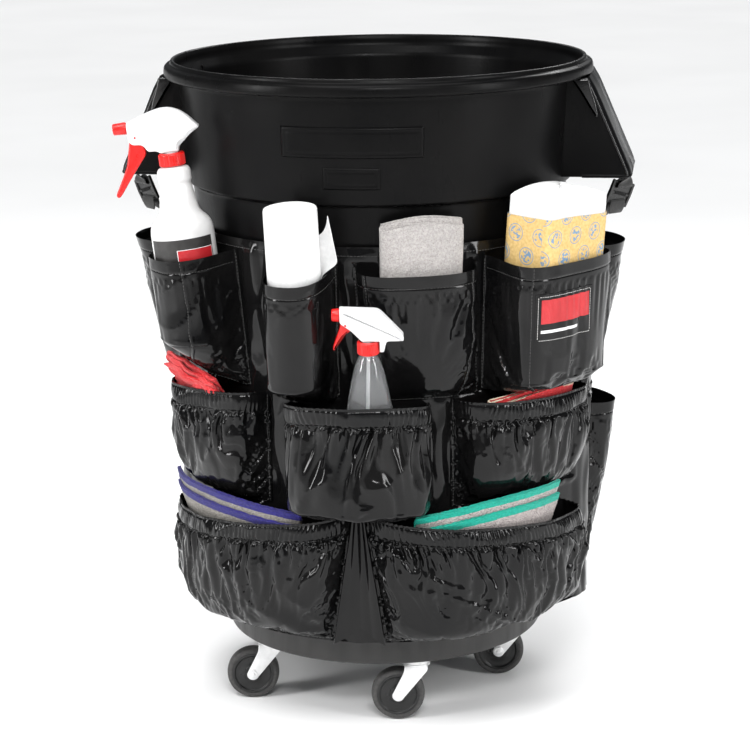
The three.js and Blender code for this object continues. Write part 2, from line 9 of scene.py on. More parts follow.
import bmesh
import bpy
import numpy as np
from mathutils import Matrix, Quaternion, Vector


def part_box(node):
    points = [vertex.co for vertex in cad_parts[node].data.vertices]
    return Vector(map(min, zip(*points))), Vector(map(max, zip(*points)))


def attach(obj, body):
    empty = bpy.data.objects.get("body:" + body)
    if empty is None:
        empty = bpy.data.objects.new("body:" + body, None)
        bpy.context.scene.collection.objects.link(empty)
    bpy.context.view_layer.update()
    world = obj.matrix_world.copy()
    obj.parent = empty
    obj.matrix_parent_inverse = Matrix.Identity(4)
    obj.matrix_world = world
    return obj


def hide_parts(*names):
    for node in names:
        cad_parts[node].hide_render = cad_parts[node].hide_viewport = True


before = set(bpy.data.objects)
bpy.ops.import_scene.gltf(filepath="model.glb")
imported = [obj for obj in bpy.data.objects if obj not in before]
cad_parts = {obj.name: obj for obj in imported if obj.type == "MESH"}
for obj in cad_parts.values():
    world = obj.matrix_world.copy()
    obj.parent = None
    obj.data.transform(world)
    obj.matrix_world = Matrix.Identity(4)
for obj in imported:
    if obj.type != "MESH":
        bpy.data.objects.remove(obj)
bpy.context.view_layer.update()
scene = bpy.context.scene
MM = 0.001

# ---------------------------------------------------------------- driving dimensions
dolly_low, dolly_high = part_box("dolly_base")
AXIS_Y = (dolly_low.y + dolly_high.y) / 2 / MM      # where the container's axis stands
DOLLY_R = (dolly_high.x - dolly_low.x) / 2 / MM
TOP_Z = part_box("drum")[1].z / MM
BAG_TOP_Z = 700
BAG_BOTTOM_Z = 138
BAG_WRAP = 122                                     # where the bag ends, in degrees each side of the front
BAG_TOP_R = 268.5
BAG_LOW_R = 258
BAG_PULL_TOP = 48                                  # how far the side pockets stand off the container
BAG_PULL_BOTTOM = 38
BAG_OFFSET = 2.9                                   # from the bag's inner face to a pocket's flange
VINYL = 1.3
FLANGE = 6                                         # width of the strip that a pocket is sewn down by
HEM = 17
CASING = 27                                        # height of a gathered pocket's elastic casing
CASTER_COUNT = 5
CASTER_RING_R = 196
FIRST_CASTER = 2.6
WHEEL_R = 38.1
AXLE_Z = WHEEL_R - 0.4
CASTER_TRAIL = 27
TRAIL_ANGLE = 188
NOZZLE_HEADING = 188
BAND_LOW_Z, BAND_HIGH_Z = 757, 897                 # the drum's flaring upper band
BAND_LOW_R, BAND_HIGH_R = 276, 283.3
CAMERA_PLACE = (0.4584, -3.3147, 1.292)
CAMERA_TURN, CAMERA_PITCH, CAMERA_ROLL = 8, 13.89, -0.82
CAMERA_LENS, CAMERA_SENSOR = 113.6, 36
FLOOR_HALF = 40


def added(name, data):
    """A new object in the scene."""
    obj = bpy.data.objects.new(name, data)
    scene.collection.objects.link(obj)
    return obj


def direction(turn, rise):
    """The unit vector that points rise degrees up and turn degrees round from the front (-Y)."""
    a, e = math.radians(turn), math.radians(rise)
    return Vector((math.sin(a) * math.cos(e), -math.cos(a) * math.cos(e), math.sin(e)))


# ---------------------------------------------------------------- camera, light and floor
def make_camera():
    data = bpy.data.cameras.new("camera")
    data.sensor_width = CAMERA_SENSOR
    data.lens = CAMERA_LENS
    camera = added("camera", data)
    back = direction(CAMERA_TURN, CAMERA_PITCH)
    aim = (-back).to_track_quat("-Z", "Y").to_matrix().to_4x4()
    roll = Matrix.Rotation(math.radians(CAMERA_ROLL), 4, "Z")
    camera.matrix_world = Matrix.Translation(CAMERA_PLACE) @ aim @ roll
    scene.camera = camera


def make_sun(name, strength, azimuth, elevation, spread):
    data = bpy.data.lights.new(name, "SUN")
    data.energy = strength
    data.angle = math.radians(spread)
    light = added(name, data)
    light.rotation_euler = direction(azimuth, elevation).to_track_quat("Z", "Y").to_euler()


def make_panel(name, power, place, aim, width, height):
    data = bpy.data.lights.new(name, "AREA")
    data.shape = "RECTANGLE"
    data.size = width
    data.size_y = height
    data.energy = power
    light = added(name, data)
    light.location = place
    light.rotation_euler = (Vector(place) - Vector(aim)).to_track_quat("Z", "Y").to_euler()


def make_studio():
    scene.view_settings.view_transform = "Standard"
    world = bpy.data.worlds.new("studio")
    world.use_nodes = True
    background = world.node_tree.nodes["Background"].inputs
    background["Color"].default_value = (0.9, 0.95, 1, 1)
    background["Strength"].default_value = 0.12
    scene.world = world
    make_sun("key", 0.7, -28, 60, 20)
    make_sun("overhead", 2.3, 12, 83, 60)
    middle = (0, 0, 0.5)
    make_panel("left_panel", 58, (-2.3, -1.6, 1.5), middle, 0.5, 1.8)
    make_panel("right_panel", 42, (2.5, -1.2, 1.4), middle, 0.5, 1.8)
    make_panel("front_panel", 60, (0.6, -3.0, 2.6), middle, 1.2, 0.5)
    make_panel("back_panel", 45, (0.2, 2.6, 2.5), (0, 0, 0.9), 2.6, 0.5)
    mesh = bpy.data.meshes.new("floor")
    corners = [(x * FLOOR_HALF, y * FLOOR_HALF, 0) for x, y in ((-1, -1), (1, -1), (1, 1), (-1, 1))]
    mesh.from_pydata(corners, [], [(0, 1, 2, 3)])
    floor = added("floor", mesh)
    floor.location.z = -0.0005
    look = Look("pale_floor", 0.9, Specular_IOR_Level=0.1)
    look.colour(look.noise(900, 2), (0.86, 0.86, 0.86), (0.89, 0.89, 0.89))
    mesh.materials.append(look.material)


# ---------------------------------------------------------------- materials
class Look:
    """A procedural material, built round one Principled shader. Sizes are in millimetres."""

    def __init__(self, name, roughness, **inputs):
        self.material = bpy.data.materials.new(name)
        self.material.use_nodes = True
        self.nodes = self.material.node_tree.nodes
        self.links = self.material.node_tree.links
        self.shader = self.nodes["Principled BSDF"]
        self.places = self.nodes.new("ShaderNodeTexCoord")
        self.shader.inputs["Roughness"].default_value = roughness
        for key, value in inputs.items():
            self.shader.inputs[key.replace("_", " ")].default_value = value
        self.normal = None

    def add(self, kind, values=None, **settings):
        node = self.nodes.new(kind)
        for key, value in settings.items():
            setattr(node, key, value)
        for key, value in (values or {}).items():
            if isinstance(value, bpy.types.NodeSocket):
                self.links.new(value, node.inputs[key])
            else:
                node.inputs[key].default_value = value
        return node

    def stretched(self, stretch, source="Object"):
        values = {"Vector": self.places.outputs[source], "Scale": stretch}
        return self.add("ShaderNodeMapping", values).outputs["Vector"]

    def noise(self, size, detail=3, stretch=(1, 1, 1), distortion=0.0):
        values = {"Vector": self.stretched(stretch), "Scale": 1 / (size * MM), "Detail": detail}
        return self.add("ShaderNodeTexNoise", {**values, "Distortion": distortion}).outputs["Fac"]

    def cells(self, size, feature="F1"):
        values = {"Vector": self.places.outputs["Object"], "Scale": 1 / (size * MM)}
        return self.add("ShaderNodeTexVoronoi", values, feature=feature).outputs["Distance"]

    def wave(self, size, axis, source="Object"):
        values = {"Vector": self.places.outputs[source], "Scale": 1 / (size * MM) / 3.14}
        node = self.add("ShaderNodeTexWave", values, bands_direction=axis)
        return node.outputs["Fac"]

    def maths(self, operation, *operands):
        values = dict(enumerate(operands))
        return self.add("ShaderNodeMath", values, operation=operation).outputs[0]

    def ramp(self, fac, low, high, start=0.35, end=0.65):
        node = self.add("ShaderNodeValToRGB", {"Fac": fac})
        for element, place, colour in zip(node.color_ramp.elements, (start, end), (low, high)):
            element.position = place
            element.color = (*colour, 1)
        return node.outputs["Color"]

    def blend(self, fac, first, second):
        node = self.add("ShaderNodeMix", {"Factor": fac}, data_type="RGBA")
        for socket, value in zip((node.inputs[6], node.inputs[7]), (first, second)):
            if isinstance(value, bpy.types.NodeSocket):
                self.links.new(value, socket)
            else:
                socket.default_value = (*value, 1)
        return node.outputs[2]

    def set_colour(self, socket):
        self.links.new(socket, self.shader.inputs["Base Color"])

    def colour(self, fac, low, high, start=0.35, end=0.65):
        self.set_colour(self.ramp(fac, low, high, start, end))

    def rough(self, fac, low, high):
        values = {"Value": fac, "From Min": 0.3, "From Max": 0.7, "To Min": low, "To Max": high}
        spread = self.add("ShaderNodeMapRange", values).outputs["Result"]
        self.links.new(spread, self.shader.inputs["Roughness"])

    def bump(self, height, depth, strength=1.0):
        values = {"Height": height, "Distance": depth * MM, "Strength": strength}
        if self.normal:
            values["Normal"] = self.normal
        self.normal = self.add("ShaderNodeBump", values).outputs["Normal"]
        self.links.new(self.normal, self.shader.inputs["Normal"])


def surface(name, roughness, colour, rough, bumps, **inputs):
    """A look made of noises. Each begins with what Look.noise takes.

    colour and rough go on with their two ends, and every bump with its depth. rough may be None.
    """
    look = Look(name, roughness, **inputs)
    grain, low, high = colour
    look.colour(look.noise(*grain), low, high)
    if rough:
        grain, low, high = rough
        look.rough(look.noise(*grain), low, high)
    for grain, *depth in bumps:
        look.bump(look.noise(*grain), *depth)
    return look


def moulded_black(name, specular, rough_low, rough_high):
    return surface(
        name, 0.4, ((160, 4), (0.0022, 0.0022, 0.0024), (0.0050, 0.0048, 0.0048)),
        ((45, 5, (1, 1, 0.25)), rough_low, rough_high), [((3.2, 3), 0.10), ((0.9, 2), 0.03)],
        Specular_IOR_Level=specular,
    )


def thread(name, low, high):
    return surface(name, 0.75, ((1.2, 2), low, high), None, [((0.35, 2), 0.06)], Sheen_Weight=0.3)


def satin_black(name, low, high, rough_low, rough_high):
    return surface(
        name, 0.4, ((12, 3), low, high), ((7, 4), rough_low, rough_high), [((0.9, 2), 0.03)],
        Specular_IOR_Level=0.5,
    )


def bright_plastic(name, low, high, rough_low=0.25, rough_high=0.4):
    return surface(
        name, 0.35, ((22, 3), low, high), ((8, 4), rough_low, rough_high), [((1.4, 2), 0.02)],
    )


def black_webbing():
    look = Look("black_webbing", 0.62, Sheen_Weight=0.25)
    weft = look.wave(1.5, "Y")
    warp = look.wave(1.5, "Z")
    weave = look.maths("MULTIPLY", weft, warp)
    look.colour(weave, (0.006, 0.006, 0.006), (0.030, 0.029, 0.028), 0.1, 0.7)
    look.bump(weave, 0.35)
    look.bump(look.noise(0.5, 2), 0.05)
    return look


def printed_wrapper():
    """Kraft paper with staggered rows of blue rings, each with a broken blotch inside.

    The UV map holds millimetres round the pack and up it.
    """
    look = Look("printed_wrapper", 0.7, Specular_IOR_Level=0.3)
    paper = look.ramp(look.noise(4, 5), (0.56, 0.37, 0.13), (0.68, 0.48, 0.20))
    split = look.add("ShaderNodeSeparateXYZ", {"Vector": look.places.outputs["UV"]})
    pitch, row_height = 41, 29
    row = look.maths("FLOOR", look.maths("DIVIDE", split.outputs["Y"], row_height))
    shift = look.maths("MULTIPLY", look.maths("FLOORED_MODULO", row, 2), pitch / 2)
    across = look.maths("FLOORED_MODULO", look.maths("ADD", split.outputs["X"], shift), pitch)
    up = look.maths("FLOORED_MODULO", split.outputs["Y"], row_height)
    dx = look.maths("POWER", look.maths("SUBTRACT", across, pitch / 2), 2)
    dy = look.maths("POWER", look.maths("SUBTRACT", up, row_height / 2), 2)
    away = look.maths("SQRT", look.maths("ADD", dx, dy))
    ring = look.maths("LESS_THAN", look.maths("ABSOLUTE", look.maths("SUBTRACT", away, 11.6)), 0.55)
    patches = look.ramp(look.noise(5, 2), (0, 0, 0), (1, 1, 1), 0.50, 0.53)
    spots = look.maths("GREATER_THAN", patches, 0.5)
    blot = look.maths("MULTIPLY", look.maths("LESS_THAN", away, 8.8), spots)
    dots = look.maths("MULTIPLY", look.maths("MAXIMUM", ring, blot), 0.8)
    look.set_colour(look.blend(dots, paper, (0.06, 0.24, 0.47)))
    look.bump(look.noise(14, 3), 0.4)
    look.bump(look.noise(0.7, 3), 0.04)
    return look


def terry(name, low, high, fleck, fleck_share=0.5):
    look = Look(name, 0.95, Sheen_Weight=0.2, Specular_IOR_Level=0.15)
    base = look.ramp(look.noise(3.2, 4), low, high)
    specks = look.ramp(look.noise(1.3, 2), (0, 0, 0), (1, 1, 1), fleck_share, fleck_share + 0.1)
    look.set_colour(look.blend(specks, base, fleck))
    look.bump(look.cells(1.5), 0.7)
    look.bump(look.noise(0.7, 2), 0.25)
    return look


def make_looks():
    return {
        "drum": moulded_black("moulded_black", 0.07, 0.24, 0.4),
        "rim": moulded_black("polished_rim", 0.5, 0.14, 0.3),
        "dolly": surface(
            "dolly_plastic", 0.5, ((60, 4), (0.010, 0.0095, 0.009), (0.018, 0.017, 0.016)),
            ((14, 5, (1, 1, 0.15)), 0.34, 0.6), [((2.2, 3, (1, 1, 0.2)), 0.10)], Specular_IOR_Level=0.5,
        ),
        "vinyl": surface(
            "black_vinyl", 0.12, ((70, 3), (0.0030, 0.0030, 0.0032), (0.0062, 0.0060, 0.0060)),
            ((26, 4), 0.07, 0.17), [((30, 2, (1, 1, 1), 0.6), 0.9, 0.5), ((1.1, 2), 0.012)],
            Specular_IOR_Level=0.24,
        ),
        "thread": thread("dark_thread", (0.035, 0.034, 0.033), (0.09, 0.088, 0.085)),
        "pale_thread": thread("pale_thread", (0.45, 0.44, 0.43), (0.7, 0.69, 0.67)),
        "webbing": black_webbing(),
        "buckle": satin_black("buckle_plastic", (0.006, 0.006, 0.006), (0.014, 0.014, 0.014), 0.25, 0.4),
        "steel": surface(
            "plated_steel", 0.35, ((9, 4), (0.80, 0.80, 0.80), (0.90, 0.90, 0.90)),
            ((4, 5, (1, 1, 0.2)), 0.28, 0.5), [((1.6, 3), 0.02)], Metallic=0.55,
        ),
        "tread": surface(
            "tread_rubber", 0.6, ((5, 4), (0.035, 0.034, 0.034), (0.060, 0.058, 0.056)),
            ((3, 4), 0.5, 0.75), [((0.8, 3), 0.08)],
        ),
        "hub": satin_black("wheel_core", (0.004, 0.004, 0.004), (0.010, 0.010, 0.010), 0.25, 0.42),
        "white": bright_plastic("white_plastic", (0.74, 0.745, 0.75), (0.80, 0.80, 0.80)),
        "bottle": bright_plastic("white_bottle", (0.68, 0.67, 0.665), (0.75, 0.745, 0.74), 0.3, 0.5),
        "red": bright_plastic("red_plastic", (0.60, 0.006, 0.004), (0.70, 0.010, 0.008)),
        "clear": surface(
            "clear_plastic", 0.1, ((30, 3), (0.86, 0.87, 0.88), (0.93, 0.94, 0.95)),
            ((12, 4), 0.05, 0.16), [((7, 3), 0.05)], Transmission_Weight=0.92, IOR=1.46,
        ),
        "label_dark": satin_black("label_dark", (0.018, 0.017, 0.016), (0.030, 0.028, 0.027), 0.3, 0.5),
        "label_red": bright_plastic("label_red", (0.42, 0.010, 0.014), (0.50, 0.016, 0.022), 0.3, 0.5),
        "paper": surface(
            "white_paper", 0.85, ((6, 5), (0.73, 0.73, 0.73), (0.80, 0.80, 0.795)), None,
            [((0.8, 4), 0.06), ((18, 3), 0.3)], Specular_IOR_Level=0.2,
        ),
        "wrapper": printed_wrapper(),
        "grey_terry": terry(
            "grey_terry", (0.36, 0.34, 0.33), (0.48, 0.455, 0.44), (0.26, 0.235, 0.225), 0.56,
        ),
        "taupe_terry": terry(
            "taupe_terry", (0.21, 0.195, 0.175), (0.34, 0.32, 0.29), (0.10, 0.09, 0.08), 0.52,
        ),
        "pink_terry": terry(
            "speckled_terry", (0.42, 0.37, 0.355), (0.56, 0.51, 0.49), (0.14, 0.12, 0.12), 0.5,
        ),
        "red_terry": terry("red_terry", (0.50, 0.014, 0.018), (0.64, 0.030, 0.036), (0.78, 0.16, 0.16), 0.58),
        "blue_edge": terry(
            "blue_edge", (0.016, 0.013, 0.12), (0.026, 0.021, 0.18), (0.010, 0.008, 0.08), 0.6,
        ),
        "green_edge": terry("green_edge", (0.004, 0.30, 0.22), (0.012, 0.40, 0.30), (0.003, 0.22, 0.16), 0.6),
        "cream_edge": terry("cream_edge", (0.62, 0.52, 0.38), (0.75, 0.66, 0.50), (0.5, 0.4, 0.28), 0.6),
    }


# ---------------------------------------------------------------- mesh building
def link(name, points, faces, looks, smooth_angle=40, uv=None, face_looks=None):
    """A mesh object from points in millimetres. uv gives one pair for each point."""
    mesh = bpy.data.meshes.new(name)
    mesh.from_pydata((np.asarray(points, float) * MM).tolist(), [], [tuple(map(int, f)) for f in faces])
    for look in looks if isinstance(looks, (list, tuple)) else [looks]:
        mesh.materials.append(look.material)
    if face_looks is not None:
        mesh.polygons.foreach_set("material_index", np.asarray(face_looks, np.int32))
    if uv is not None:
        layer = mesh.uv_layers.new(name="flat")
        corner = np.zeros(len(mesh.loops), np.int32)
        mesh.loops.foreach_get("vertex_index", corner)
        layer.data.foreach_set("uv", np.asarray(uv, np.float32)[corner].ravel())
    mesh.shade_smooth()
    if smooth_angle < 180:
        mesh.set_sharp_from_angle(angle=math.radians(smooth_angle))
    mesh.validate()
    return added(name, mesh)


def arc_length(points):
    """The distance along a line of points, at each point."""
    return np.concatenate([[0], np.cumsum(np.linalg.norm(np.diff(points, axis=0), axis=1))])


def grid_faces(rows, columns, wrap=False, start=0, flip=False):
    """Quads of a grid of rows by columns points."""
    across = columns if wrap else columns - 1
    j, i = np.meshgrid(np.arange(rows - 1), np.arange(across), indexing="ij")
    right = (i + 1) % columns
    low, high = j * columns, (j + 1) * columns
    quads = np.stack([low + i, low + right, high + right, high + i], -1).reshape(-1, 4) + start
    return quads[:, ::-1] if flip else quads


def grid_normals(grid, wrap=False):
    if wrap:
        across = np.roll(grid, -1, 1) - np.roll(grid, 1, 1)
    else:
        across = np.gradient(grid, axis=1)
    normals = np.cross(across, np.gradient(grid, axis=0))
    return normals / np.maximum(np.linalg.norm(normals, axis=-1, keepdims=True), 1e-9)


def thick(grid, thickness, wrap=False):
    """Points and faces of a closed sheet with the grid as its middle surface."""
    rows, columns = grid.shape[:2]
    half = np.asarray(thickness)[..., None] / 2 if np.ndim(thickness) else thickness / 2
    lift = grid_normals(grid, wrap) * half
    points = np.concatenate([(grid + lift).reshape(-1, 3), (grid - lift).reshape(-1, 3)])
    size = rows * columns
    faces = [grid_faces(rows, columns, wrap), grid_faces(rows, columns, wrap, size, True)]
    loop = list(range(columns - 1)) if not wrap else list(range(columns))
    edge = []
    for i in loop:
        k = (i + 1) % columns
        top = (rows - 1) * columns
        edge.append((k, i, size + i, size + k))
        edge.append((top + i, top + k, size + top + k, size + top + i))
    if not wrap:
        for j in range(rows - 1):
            a, b = j * columns, (j + 1) * columns
            edge.append((a, b, size + b, size + a))
            edge.append((b + columns - 1, a + columns - 1, size + a + columns - 1, size + b + columns - 1))
    faces.append(np.array(edge))
    return points, np.concatenate(faces)


def rounded(points, radius, steps=3, closed=False):
    """The outline with each corner rounded; radius may be one number or one for each point."""
    points = [np.array(p, float) for p in points]
    count = len(points)
    radii = radius if isinstance(radius, (list, tuple)) else [radius] * count
    out = []
    for i, here in enumerate(points):
        if (not closed and i in (0, count - 1)) or radii[i] == 0:
            out.append(here)
            continue
        before, after = points[i - 1] - here, points[(i + 1) % count] - here
        reach_in = min(radii[i], np.linalg.norm(before) * 0.48)
        reach_out = min(radii[i], np.linalg.norm(after) * 0.48)
        first = here + before / max(np.linalg.norm(before), 1e-9) * reach_in
        last = here + after / max(np.linalg.norm(after), 1e-9) * reach_out
        for t in np.linspace(0, 1, steps + 1):
            out.append((1 - t) ** 2 * first + 2 * t * (1 - t) * here + t * t * last)
    return out


def weld(obj):
    work = bmesh.new()
    work.from_mesh(obj.data)
    bmesh.ops.remove_doubles(work, verts=work.verts, dist=2e-6)
    bmesh.ops.dissolve_degenerate(work, edges=work.edges, dist=1e-6)
    bmesh.ops.recalc_face_normals(work, faces=work.faces)
    work.to_mesh(obj.data)
    work.free()
    return obj


def lathe(name, profile, look, steps=96, ribs=0, rib_depth=0.0, rib_span=None, closed=False):
    """A profile of (radius, height) turned round Z.

    Ribs stand out between the first two values of rib_span, where the radius is over the third.
    """
    angles = np.linspace(0, 2 * math.pi, steps, endpoint=False)
    rows = []
    outline = list(profile) + ([profile[0]] if closed else [])
    for r, z in outline:
        radius = np.full(steps, float(r))
        if ribs and rib_span[0] <= z <= rib_span[1] and r > rib_span[2]:
            radius += rib_depth * (0.5 + 0.5 * np.sign(np.cos(angles * ribs)))
        level = np.full(steps, float(z))
        rows.append(np.stack([radius * np.cos(angles), radius * np.sin(angles), level], -1))
    grid = np.array(rows)
    faces = grid_faces(len(outline), steps, True)
    return weld(link(name, grid.reshape(-1, 3), faces, look, 35))


def unit(vectors):
    return vectors / np.linalg.norm(vectors, axis=1, keepdims=True)


def pillow(name, outline, width, look, soft=3.0, steps=4):
    """An outline of (x, z) points, extruded along Y with rounded edges."""
    outline = np.array(outline, float)
    count = len(outline)
    following = np.roll(outline, -1, 0)
    tangent = unit(following - outline) + unit(outline - np.roll(outline, 1, 0))
    area = np.sum(outline[:, 0] * following[:, 1] - following[:, 0] * outline[:, 1])
    normal = np.stack([tangent[:, 1], -tangent[:, 0]], -1) * np.sign(area)
    normal /= np.maximum(np.linalg.norm(normal, axis=1, keepdims=True), 1e-9)
    turn = np.linspace(0, math.pi / 2, steps + 1)
    half = width / 2
    levels = [(-half + soft * (1 - math.cos(a)), soft * (1 - math.sin(a))) for a in turn]
    levels += [(-y, inset) for y, inset in reversed(levels)]
    rows = []
    for y, inset in levels:
        flat = outline - normal * inset
        rows.append(np.stack([flat[:, 0], np.full(count, y), flat[:, 1]], -1))
    grid = np.array(rows)
    faces = [tuple(f) for f in grid_faces(len(levels), count, True)]
    faces.append(tuple(range(count))[::-1])
    faces.append(tuple(range((len(levels) - 1) * count, len(levels) * count)))
    return weld(link(name, grid.reshape(-1, 3), faces, look, 50))


def tube(name, path, radius, look, sides=10, flat=1.0):
    """A closed round bar along a path of points."""
    path = np.array(path, float)
    tangents = np.gradient(path, axis=0)
    rows = []
    side = Vector((0, 0, 1)).cross(Vector(tangents[0]))
    if side.length < 1e-6:
        side = Vector((1, 0, 0))
    for point, tangent in zip(path, tangents):
        t = Vector(tangent).normalized()
        side = (side - t * side.dot(t)).normalized()
        other = t.cross(side)
        angles = np.linspace(0, 2 * math.pi, sides, endpoint=False)
        side_way, other_way = np.array(side), flat * np.array(other)
        rows.append([point + radius * (math.cos(a) * side_way + math.sin(a) * other_way) for a in angles])
    grid = np.array(rows)
    faces = [tuple(f) for f in grid_faces(len(path), sides, True)]
    faces.append(tuple(range(sides))[::-1])
    faces.append(tuple(range((len(path) - 1) * sides, len(path) * sides)))
    return weld(link(name, grid.reshape(-1, 3), faces, look, 50))


def joined(name, parts):
    """Several mesh objects as one, keeping their materials."""
    bpy.ops.object.select_all(action="DESELECT")
    for part in parts:
        part.select_set(True)
    bpy.context.view_layer.objects.active = parts[0]
    if len(parts) > 1:
        bpy.ops.object.join()
    parts[0].name = name
    parts[0].data.name = name
    return parts[0]


def finished(obj, body, slot, *nodes):
    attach(obj, body)
    if nodes:
        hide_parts(*nodes)
    return obj


def smoothstep(x):
    x = np.clip(x, 0, 1)
    return x * x * (3 - 2 * x)


def waves(rng, u, v, size_u, size_v, count=7):
    """A sum of random sines, about -1 to 1, with features of about size_u by size_v."""
    total = np.zeros(np.broadcast(u, v).shape)
    for _ in range(count):
        ku = rng.normal(0, 1) * 2.2 / size_u
        kv = rng.normal(0, 1) * 2.2 / size_v
        total = total + np.sin(ku * u + kv * v + rng.uniform(0, 2 * math.pi))
    return total / math.sqrt(count) / 1.3


# ---------------------------------------------------------------- placing
def polar(radius, phi, z):
    a = np.radians(phi)
    radius, a, z = np.broadcast_arrays(radius, a, z)
    return np.stack([radius * np.sin(a), AXIS_Y - radius * np.cos(a), z], -1).astype(float)


def bag_radius(phi, z):
    away = np.clip((np.abs(phi) - 94) / 30, -1, 1)
    share = np.cos(away * math.pi / 2) ** 2
    height = np.clip((z - BAG_BOTTOM_Z) / (BAG_TOP_Z - BAG_BOTTOM_Z), 0, 1)
    hug = BAG_LOW_R + (BAG_TOP_R - BAG_LOW_R) * np.clip((z - 480) / 200, 0, 1)
    return hug + share * (BAG_PULL_BOTTOM + (BAG_PULL_TOP - BAG_PULL_BOTTOM) * height)


def standing(radius, phi, z, outwards, sideways, heading):
    """The place of a supply that stands at radius, phi and z, leaning, with its +X at a heading."""
    a = math.radians(phi)
    across = Vector((math.cos(a), math.sin(a), 0))
    out = Vector((math.sin(a), -math.cos(a), 0))
    turn = Quaternion(across, math.radians(outwards)) @ Quaternion(out, math.radians(sideways))
    turn = turn @ Quaternion((0, 0, 1), math.radians(heading))
    place = Vector(polar(radius, phi, z)) * MM
    return Matrix.Translation(place) @ turn.to_matrix().to_4x4()


def facing(phi):
    """The frame at the container's axis whose +X points outwards at phi."""
    return Matrix.Translation((0, AXIS_Y * MM, 0)) @ Matrix.Rotation(math.radians(phi - 90), 4, "Z")


# ---------------------------------------------------------------- container
def make_drum(looks):
    outside = [
        (0, 127), (205, 127), (215, 135), (267.2, 750), (268.2, 753.5), (276, 757), (283.3, 897), (285, 902),
        (299, 902), (304.6, 904.5), (304.8, 913), (303, 918.5), (298.5, 920.3), (296, 921.2), (295, 925.5),
        (292.4, TOP_Z), (289.6, 925.6), (288.2, 920), (288, 912),
    ]
    inside = [(279.2, 897), (271.6, 758), (263.2, 752), (210.6, 140), (203, 133), (196, 132), (0, 132)]
    radii = [0, 6, 6, 2, 2, 3, 3, 2, 3, 3, 4, 3, 1.5, 1.5, 2, 2, 2, 2, 4, 4, 4, 6, 6, 3, 0, 0]
    profile = rounded(outside + inside, radii[:len(outside + inside)], 4)
    drum = lathe("drum_shell", profile, looks["drum"], 240)
    parts = [drum]
    axis = Matrix.Translation((0, AXIS_Y * MM, 0))
    for half_turn in (math.pi, 0):
        hood = handle_hood(looks)
        for piece in hood:
            piece.matrix_world = axis @ Matrix.Rotation(half_turn, 4, "Z")
        parts += hood
    drum.matrix_world = axis
    for half_angle, low, high, proud in ((20, 820, 862, 2.2), (8, 778, 808, 2.0)):
        parts.append(raised_panel(looks, half_angle, low, high, proud))
    bpy.context.view_layer.update()
    finished(joined("waste_container", parts), "container", "moulded_black", "drum")


def raised_panel(looks, half_angle, low, high, proud):
    """A plain raised panel with soft edges on the container's upper band."""
    s, t = np.meshgrid(np.linspace(-1, 1, 61), np.linspace(-1, 1, 21))
    z = (low + high) / 2 + t * (high - low) / 2
    share = (z - BAND_LOW_Z) / (BAND_HIGH_Z - BAND_LOW_Z)
    base = BAND_LOW_R + (BAND_HIGH_R - BAND_LOW_R) * share
    half_width = math.radians(half_angle) * 280
    edge = np.minimum((1 - np.abs(s)) * half_width, (1 - np.abs(t)) * (high - low) / 2)
    frame_line = np.exp(-((edge - 6) / 1.2) ** 2)
    lift = proud * smoothstep(edge / 2.5) - 0.7 * frame_line
    outer = polar(base + lift, s * half_angle, z)
    inner = polar(base - 1.5, s * half_angle, z)
    points = np.concatenate([outer.reshape(-1, 3), inner.reshape(-1, 3)])
    _, faces = thick(outer, 1)
    return link("raised_panel", points, faces, looks["drum"], 60)


def handle_hood(looks):
    """The hooded grip under the rim, along +X, open below, with pointed gussets at its two ends."""
    levels = np.linspace(0, 1, 34)
    path = np.array(rounded([(301, 903), (310, 888), (359.4, 773), (360, 766)], [0, 6, 4, 0], 5))
    run = arc_length(path)
    reach = np.interp(levels * run[-1], run, path[:, 0])
    height = np.interp(levels * run[-1], run, path[:, 1])
    rows = []
    for x, z in zip(reach, height):
        half = 75.0
        wall = 268 + (283.5 - 268) * (z - 757) / 140
        start = math.sqrt(max(wall ** 2 - half ** 2, 1)) - 4
        corner = min(12.0, max(x - start, 1) * 0.45)
        outline = rounded([(start, -half), (x, -half), (x, half), (start, half)], [0, corner, corner, 0], 6)
        outline = np.array(outline)
        length = arc_length(outline)
        even = np.linspace(0, length[-1], 73)
        xs, ys = np.interp(even, length, outline[:, 0]), np.interp(even, length, outline[:, 1])
        rows.append(np.stack([xs, ys, np.full(73, z)], -1))
    grid = np.array(rows)[::-1]
    points, faces = thick(grid, 4.2)
    parts = [link("hood", points, faces, looks["drum"], 50)]
    lip = grid[0, 8:-8]
    parts.append(tube("hood_lip", lip + np.array([0, 0, 1.5]), 3.0, looks["drum"], 8))
    for side in (-1, 1):
        gusset = [
            (280, 903), (306, 903), (309, 889), (316, 868), (319, 852), (316, 848), (309, 858), (294, 884),
        ]
        rib = pillow("gusset", rounded(gusset, 4, 3, True), 9, looks["rim"], 3)
        rib.data.transform(Matrix.Translation((-0.003, side * 76.5 * MM, 0)))
        parts.append(rib)
        ridge = [(302, 899), (309, 885), (357, 774), (357.6, 768)]
        line = np.array([(x - 2, side * 74.5, z) for x, z in rounded(ridge, 10, 5)])
        parts.append(tube("hood_ridge", line, 2.6, looks["rim"], 8))
    return parts


def caster_spot(i):
    """Where caster i's swivel stands, in metres from the dolly's axis."""
    angle = math.radians(FIRST_CASTER + i * 360 / CASTER_COUNT)
    return Vector((math.cos(angle), math.sin(angle), 0)) * (CASTER_RING_R * MM)


